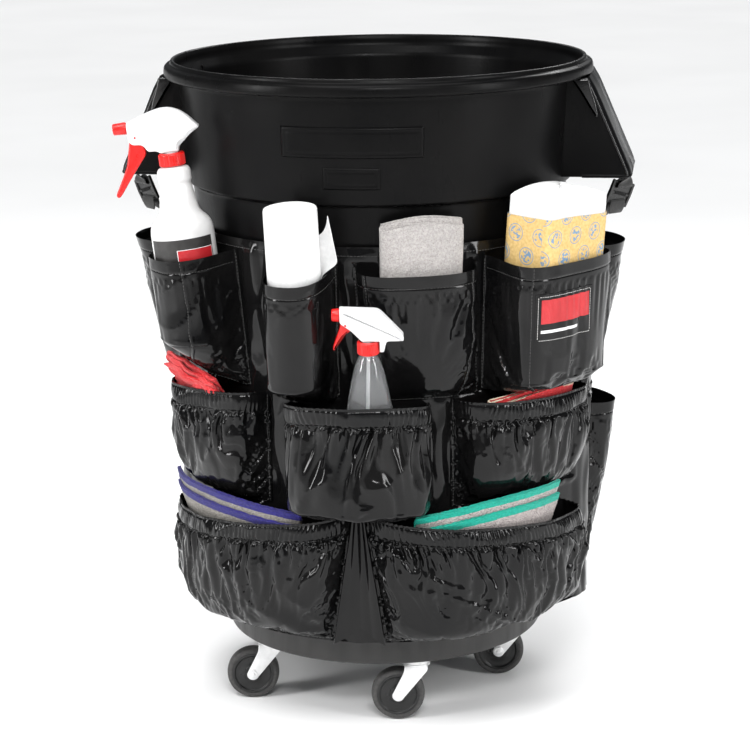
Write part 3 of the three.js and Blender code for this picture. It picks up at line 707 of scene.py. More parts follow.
def make_dolly(looks):
    outline = [
        (0, 108), (158, 108), (168, 94), (DOLLY_R - 3, 94), (DOLLY_R, 97.5), (DOLLY_R, 150),
        (DOLLY_R + 0.4, 163), (DOLLY_R - 0.2, 168), (DOLLY_R - 4, 168), (DOLLY_R - 4.4, 130),
        (DOLLY_R - 8, 126.7), (0, 126.7),
    ]
    radii = [0, 4, 4, 4, 4, 6, 2, 1.6, 1.6, 4, 3, 0]
    shell = lathe("dolly_shell", rounded(outline, radii, 4), looks["dolly"], 200)
    parts = [shell]
    for i in range(CASTER_COUNT):
        outline = rounded([(0, 93.7), (30, 93.7), (32, 96), (32, 109), (0, 109)], 1.5, 3)
        pad = lathe("pad", outline, looks["dolly"], 40)
        pad.data.transform(Matrix.Translation(caster_spot(i)))
        parts.append(pad)
    whole = joined("dolly_ring", parts)
    whole.location.y = AXIS_Y * MM
    finished(whole, "dolly", "moulded_black", "dolly_base")


# ---------------------------------------------------------------- casters
def make_caster(looks, n):
    """In a caster's own frame the swivel stands on Z, the wheel trails along +X and the axle is along Y."""
    place = Matrix.Translation(caster_spot(n - 1) + Vector((0, AXIS_Y * MM, 0)))
    place = place @ Matrix.Rotation(math.radians(TRAIL_ANGLE), 4, "Z")
    axle = Matrix.Translation((CASTER_TRAIL * MM, 0, AXLE_Z * MM)) @ Matrix.Rotation(math.radians(90), 4, "X")
    rolling = place @ axle

    plate = caster_piece(f"swivel_plate_{n}", [swivel_plate(looks)], place)
    finished(plate, "dolly", "plated_steel", f"caster_plate_{n}")
    yoke = caster_piece(f"caster_yoke_{n}", yoke_parts(looks), place)
    finished(yoke, f"caster_{n}", "plated_steel", f"fork_{n}")
    bolt = caster_piece(f"axle_bolt_{n}", [axle_bolt(looks)], rolling)
    finished(bolt, f"caster_{n}", "plated_steel", f"axle_{n}")
    wheel = caster_piece(f"caster_wheel_{n}", wheel_parts(looks), rolling)
    finished(wheel, f"rolling_wheel_{n}", "tyre_rubber", f"wheel_{n}")


def caster_piece(name, parts, place):
    piece = joined(name, parts)
    piece.matrix_world = place
    return piece


def swivel_plate(looks):
    outline = [(0, 89.8), (21, 89.8), (25, 91.4), (25, 93.6), (0, 93.6)]
    return lathe("plate", rounded(outline, 1, 3), looks["steel"], 48)


def yoke_parts(looks):
    """Two legs, the bridge that joins them and the swivel race on top."""
    parts = []
    end = 8.6
    foot = [math.radians(a) for a in range(205, 371, 15)]
    outline = [(-15, 82.5), (-15.5, 76)]
    outline += [(CASTER_TRAIL + end * math.cos(a), AXLE_Z + end * math.sin(a)) for a in foot]
    outline += [(18, 74), (18, 82.5)]
    outline = rounded(outline, [3, 5] + [0] * len(foot) + [6, 3], 3, True)
    for side in (-1, 1):
        leg = pillow("leg", outline, 2.4, looks["steel"], 0.8, 2)
        leg.data.transform(Matrix.Translation((0, side * 14.8 * MM, 0)))
        parts.append(leg)
    bridge = [(-15.6, -16), (18.2, -16), (18.2, 16), (-15.6, 16)]
    top = pillow("bridge", rounded(bridge, 5, 4, True), 3.0, looks["steel"], 1.0, 2)
    top.data.transform(Matrix.Translation((0, 0, 81.6 * MM)) @ Matrix.Rotation(math.radians(90), 4, "X"))
    parts.append(top)
    race = [
        (0, 80), (17, 80), (19, 81.5), (19, 84), (17.6, 85.2), (18.6, 86.6), (18.6, 88.2), (16, 89.5),
        (0, 89.5),
    ]
    parts.append(lathe("race", rounded(race, 0.8, 3), looks["steel"], 48))
    return parts


def mirrored(profile):
    """The points of a profile in reverse, on the other side of the middle plane."""
    return [(r, -y) for r, y in reversed(profile)]


def axle_bolt(looks):
    side = [
        (0, 20.2), (3.2, 20.2), (3.9, 19.6), (3.9, 18.2), (6.6, 18.0), (7.6, 17.4), (7.6, 16.3), (4, 16.3),
    ]
    profile = side + mirrored(side)
    return lathe("bolt", rounded(profile, [0] + [0.5] * (len(profile) - 2) + [0], 3), looks["steel"], 24)


def wheel_parts(looks):
    half = 12.0
    side = [
        (4.4, half - 1), (9, half), (11.5, half), (12.5, half - 2.4), (19, half - 3.4), (25.4, half - 3.0),
        (27, half - 0.6), (30.5, half - 0.6),
    ]
    tread = [
        (30, half - 0.8), (33.5, half - 0.6), (36.6, half - 2.2), (WHEEL_R - 0.4, half - 5.4), (WHEEL_R, 0),
    ]
    hub = rounded(side + mirrored(side), 0.9, 3, True)
    tyre = rounded(tread + mirrored(tread[:-1]), 1.2, 3, True)
    return [
        lathe("hub", hub, looks["hub"], 96, closed=True),
        lathe("tyre", tyre, looks["tread"], 96, closed=True),
    ]


# ---------------------------------------------------------------- bag
def boxy(mouth, rise):
    return lambda t: mouth * min(1, math.sqrt(t / rise))


def hung(mouth, rise):
    return lambda t: mouth * min(1, t / rise)


def wedge(mouth):
    return lambda t: mouth * t ** 0.8


def gathered(mouth, belly):
    def depth(t):
        if t < 0.6:
            return belly * math.sin(math.pi / 2 * t / 0.6) ** 0.6
        return belly + (mouth - belly) * (t - 0.6) / 0.4
    return depth


# Each pocket: its two sides in degrees, its bottom and top, its depth up its height, how square its
# section is, how far its mouth sags in front, how far it slants and how far its mouth tilts.
POCKETS = {
    "upper_left": (-59, -37.2, 492, 684, hung(94, 0.38), 2.8, 10, -3, 0),
    "upper_roll": (-23, -4.5, 492, 676, boxy(86, 0.15), 2.6, 16, 0, 0),
    "upper_flat": (0.5, 37, 488, 673, boxy(30, 0.5), 3.5, 8, -1.5, 0),
    "upper_right": (38.2, 71, 492, 680, boxy(97, 0.12), 6, 5, 0, 0),
    "side_left": (-106, -79, 440, 664, wedge(46), 3, 0, 0, 0),
    "side_right": (84, 111, 440, 660, wedge(34), 3, 0, 0, 0),
    "side_low": (92, 117, 182, 418, wedge(44), 3, 0, 0, 0),
    "middle_left": (-76, -29, 330, 478, gathered(56, 58), 2.8, -6, 0, 10),
    "middle_front": (-20, 22, 338, 480, boxy(96, 0.1), 2.6, -20, 0, 0),
    "middle_right": (28.5, 80, 330, 476, gathered(54, 58), 2.8, -2, 0, -8),
    "lower_left": (-81, -4.5, 142, 314, gathered(54, 57), 3, 8, 6, 20),
    "lower_right": (4.5, 81, 142, 314, gathered(54, 57), 3, 8, -6, -20),
}
# How deeply each flat pocket is dented, and how far in from its sides the seams of its front lie.
FLAT_POCKETS = {
    "upper_left": (3.4, 88), "upper_roll": (1.2, -20), "upper_flat": (2.6, 32), "upper_right": (2.0, 98),
}
SEAM_GAP = 3.4                                     # from the piping to its row of stitches
SIM_FRAMES = 22
SIM_REACH = 16                                     # the most that the simulation may move a point
ELASTIC = ("middle_left", "middle_front", "middle_right", "lower_left", "lower_right")


def pocket_grid(pocket, rows, columns):
    """The pocket's middle surface: rows from its bottom to its mouth, columns from left to right."""
    start, end, bottom, top, depth, square, sag, slant, tilt = pocket
    reach = math.radians(end - start) / 2 * BAG_TOP_R - FLANGE
    angles = np.linspace(math.pi, 0, 600)
    grid = []
    for t in np.linspace(0, 1, rows) ** 1.2:
        u = reach * np.sign(np.cos(angles)) * np.abs(np.cos(angles)) ** (2 / square)
        v = depth(t) * np.maximum(np.sin(angles), 0) ** (2 / square)
        u = np.concatenate([[-reach - FLANGE], u, [reach + FLANGE]])
        v = np.concatenate([[0], v, [0]])
        run = np.concatenate([[0], np.cumsum(np.hypot(np.diff(u), np.diff(v)))])
        even = np.linspace(0, run[-1], columns)
        u, v = np.interp(even, run, u), np.interp(even, run, v)
        z = bottom + (top - bottom) * t - sag * t * v / depth(1) + tilt * t * u / reach
        phi = (start + end) / 2 + slant * (t - 0.5) + np.degrees(u / BAG_TOP_R)
        grid.append(polar(bag_radius(phi, z) + BAG_OFFSET + v, phi, z))
    return np.array(grid)


def doubled(grid):
    """The grid with a point added between every two, on a Catmull-Rom curve through them."""
    for axis in (0, 1):
        g = np.moveaxis(grid, axis, 0)
        padded = np.concatenate([2 * g[:1] - g[1:2], g, 2 * g[-1:] - g[-2:-1]])
        middle = (-padded[:-3] + 9 * padded[1:-2] + 9 * padded[2:-1] - padded[3:]) / 16
        out = np.empty((2 * len(g) - 1, *g.shape[1:]))
        out[::2], out[1::2] = g, middle
        grid = np.moveaxis(out, 0, axis)
    return grid


def runs(grid):
    """Each point's distance from the left edge along its row, and from the mouth down its column."""
    across = np.linalg.norm(np.diff(grid, axis=1), axis=-1)
    across = np.concatenate([np.zeros((len(grid), 1)), np.cumsum(across, axis=1)], axis=1)
    down = np.linalg.norm(np.diff(grid[::-1], axis=0), axis=-1)
    down = np.concatenate([np.zeros((1, grid.shape[1])), np.cumsum(down, axis=0)], axis=0)[::-1]
    return across, down


def held(grid):
    """1 where the pocket is sewn to the bag, falling to 0 away from its sides and bottom."""
    across, down = runs(grid)
    side = np.minimum(across, across[:, -1:] - across)
    low = down[:1] - down
    return 1 - smoothstep(np.minimum(side, low) / 16)


def gather(grid, rng, pitch=7.5):
    """Puckers of the elastic casing, and the folds that fall from it."""
    across, down = runs(grid)
    middle = across[len(grid) // 2][None, :] * np.ones_like(across)
    free = 1 - held(grid) * 0.8
    wander = waves(rng, middle, down, 34, 60) * 2.2
    fine = np.sin(2 * math.pi * middle / pitch + wander * 1.6 + 0.9 * np.sin(down / 7 + middle / 17))
    lively = 0.65 + 0.6 * waves(rng, middle, down, 16, 14)
    frill = np.exp(-(down / 3.2) ** 2) * 1.3
    casing = smoothstep((down - 2) / 3) * smoothstep((CASING + 1 - down) / 3)
    below = smoothstep((down - CASING + 1) / 3) * np.exp(-np.maximum(down - CASING, 0) / 11)
    small = fine * lively * (1.0 * frill + 0.95 * casing + 2.2 * below)
    puff = 1.5 * np.sin(np.clip((down - 3) / (CASING - 3), 0, 1) * math.pi)
    pinch = -1.6 * np.exp(-((down - CASING) / 2.0) ** 2) - 0.9 * np.exp(-((down - 3.5) / 1.4) ** 2)
    length = 34 + 30 * waves(rng, middle, down * 0, 30, 60)
    fold = np.sin(2 * math.pi * middle / (pitch * 3.4) + wander * 2.4)
    fade = np.exp(-np.maximum(down - CASING, 0) / np.maximum(length, 16))
    fade = smoothstep((down - CASING + 2) / 10) * fade
    long_folds = (np.abs(fold) ** 0.7 * np.sign(fold)) * fade * 4.2
    lift = free * (small + puff + pinch + long_folds)
    return grid + grid_normals(grid) * lift[..., None]


def crease(grid, rng, depth, size_u=60, size_v=60):
    """Soft dents with sharp ridges between them, as stiff film takes when it is pushed about."""
    across, down = runs(grid)
    warp_u = across + 14 * waves(rng, across, down, 70, 70)
    warp_v = down + 14 * waves(rng, across, down, 70, 70)
    ridges = 1 - np.abs(waves(rng, warp_u, warp_v, size_u, size_v, 5)) ** 0.8 * 1.4
    dents = waves(rng, warp_u, warp_v, size_u * 1.5, size_v * 1.3, 5)
    lift = depth * (0.55 * ridges + 0.7 * dents - 0.4) * (1 - held(grid))
    return grid + grid_normals(grid) * lift[..., None]


def hem(grid, corner):
    """The turned and sewn edge round a mouth, and a piped seam at a distance in from each side."""
    across, down = runs(grid)
    band = 0.55 * smoothstep((HEM - down) / 1.2) - 0.9 * np.exp(-((down - HEM) / 1.1) ** 2)
    inset = np.minimum(across, across[:, -1:] - across)
    piping = 1.1 * np.exp(-((inset - corner) / 1.3) ** 2)
    piping -= 0.8 * np.exp(-((inset - corner - SEAM_GAP) / 1.2) ** 2)
    return grid + grid_normals(grid) * ((band + piping) * (1 - held(grid) * 0.6))[..., None]


def clear_of_bag(grid, gap=1.2):
    """Points that were pushed into the bag are brought back to just in front of it."""
    offset = grid - np.array([0, AXIS_Y, 0])
    radius = np.hypot(offset[..., 0], offset[..., 1])
    phi = np.degrees(np.arctan2(offset[..., 0], -offset[..., 1]))
    low = bag_radius(phi, grid[..., 2]) + BAG_OFFSET - 0.7 + gap * (1 - held(grid))
    scale = np.maximum(low / radius, 1)
    out = grid.copy()
    out[..., 0] *= scale
    out[..., 1] = AXIS_Y + (grid[..., 1] - AXIS_Y) * scale
    return out


class Stitches:
    """Collects short raised stitches along seams, to be built as one piece."""

    def __init__(self):
        self.points = []
        self.faces = []

    def line(self, points, normals, pitch=4.6, length=3.1, radius=0.34, lift=0.9):
        points, normals = np.array(points), np.array(normals)
        run = np.concatenate([[0], np.cumsum(np.linalg.norm(np.diff(points, axis=0), axis=1))])
        for middle in np.arange(pitch, run[-1] - pitch / 2, pitch):
            ends = []
            for s in (middle - length / 2, middle + length / 2):
                ends.append(np.array([np.interp(s, run, points[:, k]) for k in range(3)]))
            up = np.array([np.interp(middle, run, normals[:, k]) for k in range(3)])
            along = (ends[1] - ends[0]) / max(np.linalg.norm(ends[1] - ends[0]), 1e-9)
            side = np.cross(up, along)
            start = len(self.points)
            for t, size, rise in ((0, 0.35, 0), (0.2, 1, 0.25), (0.8, 1, 0.25), (1, 0.35, 0)):
                centre = ends[0] + (ends[1] - ends[0]) * t + up * (lift + rise * radius)
                for a in np.linspace(0, 2 * math.pi, 5, endpoint=False):
                    self.points.append(centre + radius * size * (math.cos(a) * side + math.sin(a) * up))
            for f in grid_faces(4, 5, True, start):
                self.faces.append(tuple(f))
            self.faces.append(tuple(range(start, start + 5))[::-1])
            self.faces.append(tuple(range(start + 15, start + 20)))

    def build(self, name, look):
        return link(name, self.points, self.faces, look, 180)


def sew(stitches, grid, down_at=(), sides=(), bottom=None):
    """Stitches at depths below the mouth, at distances in from both sides, and above the bottom."""
    normals = grid_normals(grid)
    across, down = runs(grid)
    for depth in down_at:
        row = np.argmin(np.abs(down - depth), axis=0)
        columns = np.arange(grid.shape[1])[4:-4]
        stitches.line(grid[row[4:-4], columns], normals[row[4:-4], columns])
    for inset in sides:
        for k in (0, 1):
            distance = across if k == 0 else across[:, -1:] - across
            column = np.argmin(np.abs(distance - inset), axis=1)
            rows = np.arange(len(grid))
            stitches.line(grid[rows, column], normals[rows, column])
    if bottom is not None:
        row = np.argmin(np.abs((down[:1] - down) - bottom), axis=0)
        columns = np.arange(grid.shape[1])
        stitches.line(grid[row, columns], normals[row, columns])


def relax(sheets):
    """Lets each pocket's spare cloth buckle between its seams.

    sheets maps a name to its grid, its swell and the pressure that pushes it outwards.
    """
    objects = {}
    for name, (grid, swell, push) in sheets.items():
        rows, columns = grid.shape[:2]
        mesh = bpy.data.meshes.new("cloth_" + name)
        mesh.from_pydata((grid.reshape(-1, 3) * MM).tolist(), [], grid_faces(rows, columns).tolist())
        obj = added("cloth_" + name, mesh)
        group = obj.vertex_groups.new(name="pin")
        pinned = held(grid)
        _, down = runs(grid)
        pinned = np.maximum(pinned, smoothstep((CASING + 10 - down) / 10)).ravel()
        for index, weight in enumerate(pinned):
            group.add([index], float(weight if weight > 0.02 else 0), "REPLACE")
        cloth = obj.modifiers.new("cloth", "CLOTH")
        settings = cloth.settings
        settings.vertex_group_mass = "pin"
        settings.quality = 6
        settings.mass = 0.25
        settings.tension_stiffness = 30
        settings.compression_stiffness = 30
        settings.shear_stiffness = 12
        settings.bending_stiffness = 0.6
        settings.shrink_min = -swell
        settings.use_pressure = True
        settings.uniform_pressure_force = push
        settings.effector_weights.gravity = 0.3
        cloth.point_cache.frame_start = 1
        cloth.point_cache.frame_end = SIM_FRAMES
        objects[name] = obj
    for step in range(1, SIM_FRAMES + 1):
        scene.frame_set(step)
    results = {}
    for name, obj in objects.items():
        shape = sheets[name][0].shape
        done = obj.evaluated_get(bpy.context.evaluated_depsgraph_get())
        out = np.empty(len(done.data.vertices) * 3)
        done.data.vertices.foreach_get("co", out)
        moved = out.reshape(shape) / MM
        shift = moved - sheets[name][0]
        size = np.linalg.norm(shift, axis=-1, keepdims=True)
        results[name] = sheets[name][0] + shift * np.minimum(1, SIM_REACH / np.maximum(size, 1e-6))
        bpy.data.objects.remove(obj)
    scene.frame_set(1)
    return results


def flat_size(grid):
    across, down = runs(grid)
    return float(across[:, -1].mean() * MM), float(down[0].mean() * MM)


def make_pockets(looks):
    rough = {}
    for name, pocket in POCKETS.items():
        width = math.radians(pocket[1] - pocket[0]) * BAG_TOP_R + 1.4 * pocket[4](1)
        height = pocket[3] - pocket[2] + 0.6 * pocket[4](0.5)
        rough[name] = pocket_grid(pocket, int(height / 4.5), int(width / 4.5))
    swell = {name: 0.055 if name in ELASTIC else 0.02 for name in POCKETS}
    rough.update(relax({name: (rough[name], swell[name], 0.6) for name in POCKETS}))
    stitches = Stitches()
    for number, (name, grid) in enumerate(rough.items()):
        rng = np.random.default_rng(40 + number)
        if name in ELASTIC:
            grid = crease(grid, rng, 5.0, 70, 55)
            grid = clear_of_bag(doubled(doubled(grid)))
            grid = gather(grid, rng)
        else:
            depth, corner = FLAT_POCKETS.get(name, (2.0, -20))
            grid = crease(grid, rng, depth, 64, 70)
            grid = clear_of_bag(doubled(grid))
            grid = hem(doubled(grid), corner)
        grid = clear_of_bag(grid, 0.4)
        if name in ELASTIC:
            sew(stitches, grid, (), (3,), 3)
        else:
            sew(stitches, grid, (HEM,), (3, corner + SEAM_GAP) if corner > 0 else (3,), 3)
        points, faces = thick(grid, VINYL)
        pocket = link("vinyl_pocket_" + name, points, faces, looks["vinyl"], 70)
        finished(pocket, "container", "black_vinyl", "pocket_" + name)
        if name == "upper_right":
            make_patch(looks, grid)
    finished(stitches.build("pocket_stitching", looks["thread"]), "container", "black_vinyl")


def make_bag(looks):
    rng = np.random.default_rng(7)
    around, up = np.linspace(-BAG_WRAP, BAG_WRAP, 420), np.linspace(BAG_BOTTOM_Z, BAG_TOP_Z, 190)
    phi, z = np.meshgrid(around, up)
    covered = np.zeros_like(phi)
    for start, end, bottom, top, *_ in POCKETS.values():
        inside = np.minimum(np.minimum(phi - start, end - phi) * 4.7, np.minimum(z - bottom, top - z))
        covered = np.maximum(covered, smoothstep((inside + 9) / 9))
    u = np.radians(phi) * BAG_TOP_R
    ripple = waves(rng, u + 8 * waves(rng, u, z, 60, 60), z, 11, 70, 8)
    ridges = 1 - np.abs(waves(rng, u, z, 26, 80, 5)) * 1.3
    lift = (1 - covered) * (1.6 + 1.8 * ripple + 2.2 * ridges) * smoothstep((BAG_TOP_Z - z) / 18)
    below_top = BAG_TOP_Z - z
    band = 0.5 * smoothstep((13 - below_top) / 1.2) - 0.5 * np.exp(-((below_top - 13) / 1.1) ** 2)
    grid = polar(bag_radius(phi, z) + 0.75 + np.clip(lift, -0.3, 5) + np.clip(band, -0.2, 1), phi, z)
    points, faces = thick(grid, VINYL)
    bag = link("vinyl_bag", points, faces, looks["vinyl"], 70)
    finished(bag, "container", "black_vinyl", "skirt")
    stitches = Stitches()
    sew(stitches, grid, (13,), (9,))
    finished(stitches.build("bag_stitching", looks["thread"]), "container", "black_vinyl")
    make_pleat(looks)


def make_pleat(looks):
    """The inverted pleat between the two lower pockets, with its pointed opening at the bottom."""
    s, t = np.meshgrid(np.linspace(-1, 1, 61), np.linspace(0, 1, 70))
    half = 7.6 - 6.0 * t
    low = 139 + 22 * (1 - np.abs(s)) ** 1.2
    z = low + (328 - low) * t
    phi = s * half
    fold = np.abs(s) ** 1.5 * (11 - 7 * t) + 1.6 * np.abs(np.sin(s * 6.5)) * (1 - t * 0.4)
    grid = polar(bag_radius(phi, z) + BAG_OFFSET + 1.6 + fold, phi, z)
    points, faces = thick(grid, VINYL)
    pleat = link("bag_centre_pleat", points, faces, looks["vinyl"], 60)
    finished(pleat, "container", "black_vinyl")


def sampled(grid, left, right, top, bottom, lift, rows=36, columns=56):
    """Part of a pocket's surface, in millimetres from its left edge and down from its mouth."""
    across, down = runs(grid)
    surface = grid + grid_normals(grid) * lift
    tall, wide = grid.shape[:2]
    column = np.interp(np.linspace(left, right, columns), across.mean(axis=0), np.arange(wide))
    row = np.interp(np.linspace(bottom, top, rows), down.mean(axis=1)[::-1], np.arange(tall)[::-1])
    i0 = np.clip(column.astype(int), 0, wide - 2)
    j0 = np.clip(row.astype(int), 0, tall - 2)
    fi, fj = (column - i0)[None, :, None], (row - j0)[:, None, None]
    corner = [surface[j0[:, None] + dj, i0[None, :] + di] for dj in (0, 1) for di in (0, 1)]
    low = corner[0] * (1 - fi) + corner[1] * fi
    high = corner[2] * (1 - fi) + corner[3] * fi
    return low * (1 - fj) + high * fj


def make_patch(looks, grid):
    """The sewn patch on the towel pocket: plain, with a pale stitched border and a plain red panel."""
    width = runs(grid)[0].mean(axis=0)[-1]
    left = width / 2 - 74
    right = left + 102
    cloth = sampled(grid, left, right, 38, 106, 1.3)
    points, faces = thick(cloth, 0.8)
    patch = link("pocket_patch", points, faces, looks["vinyl"], 60)
    finished(patch, "container", "black_vinyl")
    panel = sampled(grid, left + 8, right - 6, 46, 79, 1.9)
    points, faces = thick(panel, 0.5)
    finished(link("patch_red_panel", points, faces, looks["label_red"], 60), "container", "red_plastic")
    bar = sampled(grid, left + 8, right - 30, 88, 92, 1.9, 6, 40)
    points, faces = thick(bar, 0.5)
    finished(link("patch_pale_bar", points, faces, looks["white"], 60), "container", "white_plastic")
    stitches = Stitches()
    normals = grid_normals(cloth)
    inner = np.s_[2:-2, 2:-2]
    border, up = cloth[inner], normals[inner]
    for line in (np.s_[0, :], np.s_[-1, :], np.s_[:, 0], np.s_[:, -1]):
        stitches.line(border[line], up[line], 3.4, 2.6, 0.4, 0.5)
    finished(stitches.build("patch_stitching", looks["pale_thread"]), "container", "white_paper")


# ---------------------------------------------------------------- handle straps
STRAP_WIDTH = 25
STRAP_THICK = 1.9
TWIST = 52
BUCKLE_TOP = (349, 745)
BUCKLE_BOTTOM = (338, 717)


def ribbon(name, path, look, loop, side):
    """Webbing that follows a path of (radius, height) points, STRAP_WIDTH wide."""
    outline = np.array(rounded(path, 3.4, 5, loop))
    if loop:
        outline = np.concatenate([outline, outline[:1]])
    run = np.concatenate([[0], np.cumsum(np.hypot(*np.diff(outline, axis=0).T))])
    even = np.linspace(0, run[-1], int(run[-1] / 1.2))
    if loop:
        even = even[:-1]
    x, z = np.interp(even, run, outline[:, 0]), np.interp(even, run, outline[:, 1])
    across = np.linspace(-STRAP_WIDTH / 2, STRAP_WIDTH / 2, 26)
    grid = twisted(np.stack(np.broadcast_arrays(x[None, :], across[:, None], z[None, :]), -1), side)
    thickness = STRAP_THICK * (0.55 + 0.45 * smoothstep((STRAP_WIDTH / 2 - np.abs(across)) / 1.6))
    points, faces = thick(grid, np.repeat(thickness[:, None], len(x), 1), loop)
    return link(name, points, faces, look, 60)


def twisted(points, side):
    """Turns the strap between the handle and the bag so that its face looks forwards."""
    high = smoothstep((758 - points[..., 2]) / 14)
    share = high * smoothstep((points[..., 2] - 690) / 20)
    angle = np.radians(TWIST) * share * side
    lean = (BUCKLE_TOP[0] - BUCKLE_BOTTOM[0]) / (BUCKLE_TOP[1] - BUCKLE_BOTTOM[1])
    middle = BUCKLE_BOTTOM[0] + (points[..., 2] - BUCKLE_BOTTOM[1]) * lean
    x, y = points[..., 0] - middle, points[..., 1]
    out = points.copy()
    out[..., 0] = middle + x * np.cos(angle) - y * np.sin(angle)
    out[..., 1] = x * np.sin(angle) + y * np.cos(angle)
    return out


def make_straps(looks):
    lip_z = 766
    loop = [
        (347, lip_z + 18), (353, lip_z + 4), (344.5, 749.5), (344.5, 740.5), (353.5, 740.5), (353.5, 749.5),
        (362, lip_z), (362, lip_z + 5), (357.5, lip_z + 18),
    ]
    sewn = float(bag_radius(90, 690)) + 4.5
    low = float(bag_radius(90, 672)) + 4.5
    tab = [
        (low, 672), (sewn, 690), (sewn + 3, 700), (333.3, 712.3), (333.3, 721.7), (342.7, 721.7),
        (342.7, 712.3), (339.3, 703.3),
    ]
    along = Vector((BUCKLE_TOP[0] - BUCKLE_BOTTOM[0], BUCKLE_TOP[1] - BUCKLE_BOTTOM[1]))
    tilt = Matrix.Rotation(math.atan2(along.x, along.y), 4, "Y")
    centre = Vector((BUCKLE_TOP[0] + BUCKLE_BOTTOM[0], 0, BUCKLE_TOP[1] + BUCKLE_BOTTOM[1])) / 2 * MM
    for side, phi in (("left", -90), ("right", 90)):
        place = facing(phi)
        turn = math.copysign(1, -phi)
        strap = ribbon(f"handle_strap_{side}", loop, looks["webbing"], True, turn)
        strap.matrix_world = place
        finished(strap, "container", "black_webbing", f"strap_loop_{side}")
        lower = ribbon(f"bag_strap_{side}", tab, looks["webbing"], False, turn)
        lower.matrix_world = place
        finished(lower, "container", "black_webbing", f"strap_tab_{side}")
        buckle = make_buckle(looks, along.length, side)
        swing = Matrix.Rotation(math.radians(TWIST) * turn, 4, "Z")
        buckle.matrix_world = place @ Matrix.Translation(centre) @ tilt @ swing
        finished(buckle, "container", "buckle_plastic", f"buckle_{side}")


def make_buckle(looks, span, side):
    """A ladder-lock: two rails, three bars, a back plate and a row of teeth."""
    half, wide = span / 2, STRAP_WIDTH / 2 + 4.6
    parts = []
    for y in (-wide, wide):
        rail = [(-2.6, -half - 3), (2.2, -half - 3), (3.2, 0), (2.2, half + 3), (-2.6, half + 3)]
        bar = pillow("rail", rounded(rail, 2, 3, True), 4.6, looks["buckle"], 1.6)
        bar.data.transform(Matrix.Translation((0, y * MM, 0)))
        parts.append(bar)
    for z, size, flat in ((-half, 2.3, 1.0), (0, 2.2, 1.35), (half, 2.3, 1.0)):
        line = [(0, y, z) for y in np.linspace(-wide, wide, 9)]
        parts.append(tube("bar", line, size, looks["buckle"], 12, flat))
    back = [(-0.9, -half + 1.5), (0.9, -half + 1.5), (0.9, half - 1.5), (-0.9, half - 1.5)]
    parts.append(pillow("back", rounded(back, 0.5, 3, True), 2 * wide - 4, looks["buckle"], 0.5))
    for y in np.linspace(-9, 9, 7):
        tooth = tube("tooth", [(2.2, y, -2.2), (3.1, y, 0), (2.2, y, 2.2)], 0.7, looks["buckle"], 6)
        parts.append(tooth)
    return joined(f"ladder_buckle_{side}", parts)


# ---------------------------------------------------------------- spray bottles
def band_on(radius, low, high, start, end, look, name, thickness=0.25):
    """A thin label that follows a bottle of the radius, between two angles round it."""
    a, z = np.meshgrid(np.radians(np.linspace(end, start, 60)), np.linspace(low, high, 12))
    grid = np.stack([radius * np.cos(a), radius * np.sin(a), z], -1)
    points, faces = thick(grid, thickness)
    return link(name, points, faces, look, 60)


def hollow(profile, wall):
    """A bottle's outer profile carried on down its inside."""
    inside = [(r - wall, z + wall if i == 0 else z) for i, (r, z) in enumerate(profile[1:])]
    return list(profile) + inside[::-1] + [(0, profile[0][1] + wall)]


SPRAYS = {
    1: {
        "place": (312, -48, 586, 4.5, 4.8, NOZZLE_HEADING),
        "profile": [
            (0, 0), (40, 0), (43.5, 5), (43.5, 124), (42, 133), (37, 141), (28.5, 149), (26, 160), (23, 180),
            (21, 190), (23, 194), (23, 208), (19.5, 212), (14, 213.2), (13.2, 214), (13.2, 230),
        ],
        "soft": [0, 5, 5, 6, 6, 5, 6, 8, 6, 2, 2, 2.5, 2, 1, 0.5, 0.5],
        "wall": 1.6,
        "bottle_look": "bottle",
        "collar": (13.6, 17.5, 214, 232),
        "head": [
            (-11, 232.4), (13, 232.4), (18, 236.5), (30, 237), (36, 247), (51, 248.5), (55, 256), (55, 279),
            (24, 290.5), (-1, 295), (-23, 286.5), (-44, 263), (-14, 245),
        ],
        "head_soft": [2, 2, 4, 3, 5, 5, 5, 4, 16, 12, 14, 3, 8],
        "head_width": 22,
        "plug": (9, 220, 234),
        "trigger": [
            (38.5, 262), (48, 262), (53, 256), (56.4, 243), (61, 222), (72, 201), (82.4, 183), (80.5, 179),
            (76.3, 179.5), (60, 201), (43.1, 222), (33.6, 233), (34.1, 247),
        ],
        "nozzle": (8.5, 55.3, 74, 272),
        "tube": (8, 219),
        "pin": (45, 258.5),
        "slot_start": 25.5,
    },
    2: {
        "place": (300.5, 4.6, 357, 7, 0, NOZZLE_HEADING),
        "profile": [
            (0, 0), (34, 0), (37, 5), (37, 80), (35.5, 102), (28, 150), (23, 177), (17.5, 199), (13, 208),
            (11.2, 210), (11.2, 229),
        ],
        "soft": [0, 5, 5, 8, 10, 16, 12, 8, 4, 1, 0.5],
        "wall": 1.4,
        "bottle_look": "clear",
        "collar": (11.6, 14.2, 213, 231.4),
        "head": [
            (-14.9, 231.7), (8, 231.7), (21, 246), (37, 258), (37, 277), (-15, 274), (-47, 239), (-47, 232),
            (-24.4, 231.7), (-20.7, 217), (-14.9, 217),
        ],
        "head_soft": [1, 3, 3, 3, 2, 6, 2, 2, 3, 2, 1],
        "head_width": 22,
        "plug": (7.6, 219, 232),
        "trigger": [
            (26, 260), (33, 260), (36.5, 254), (38, 246), (42, 236), (47, 221), (44.5, 219), (38.5, 229),
            (32, 241), (23.5, 245), (22, 250),
        ],
        "nozzle": (9, 37.3, 47.5, 267.5),
        "tube": (8, 218),
        "pin": (29.5, 256),
        "slot_start": 18,
    },
}


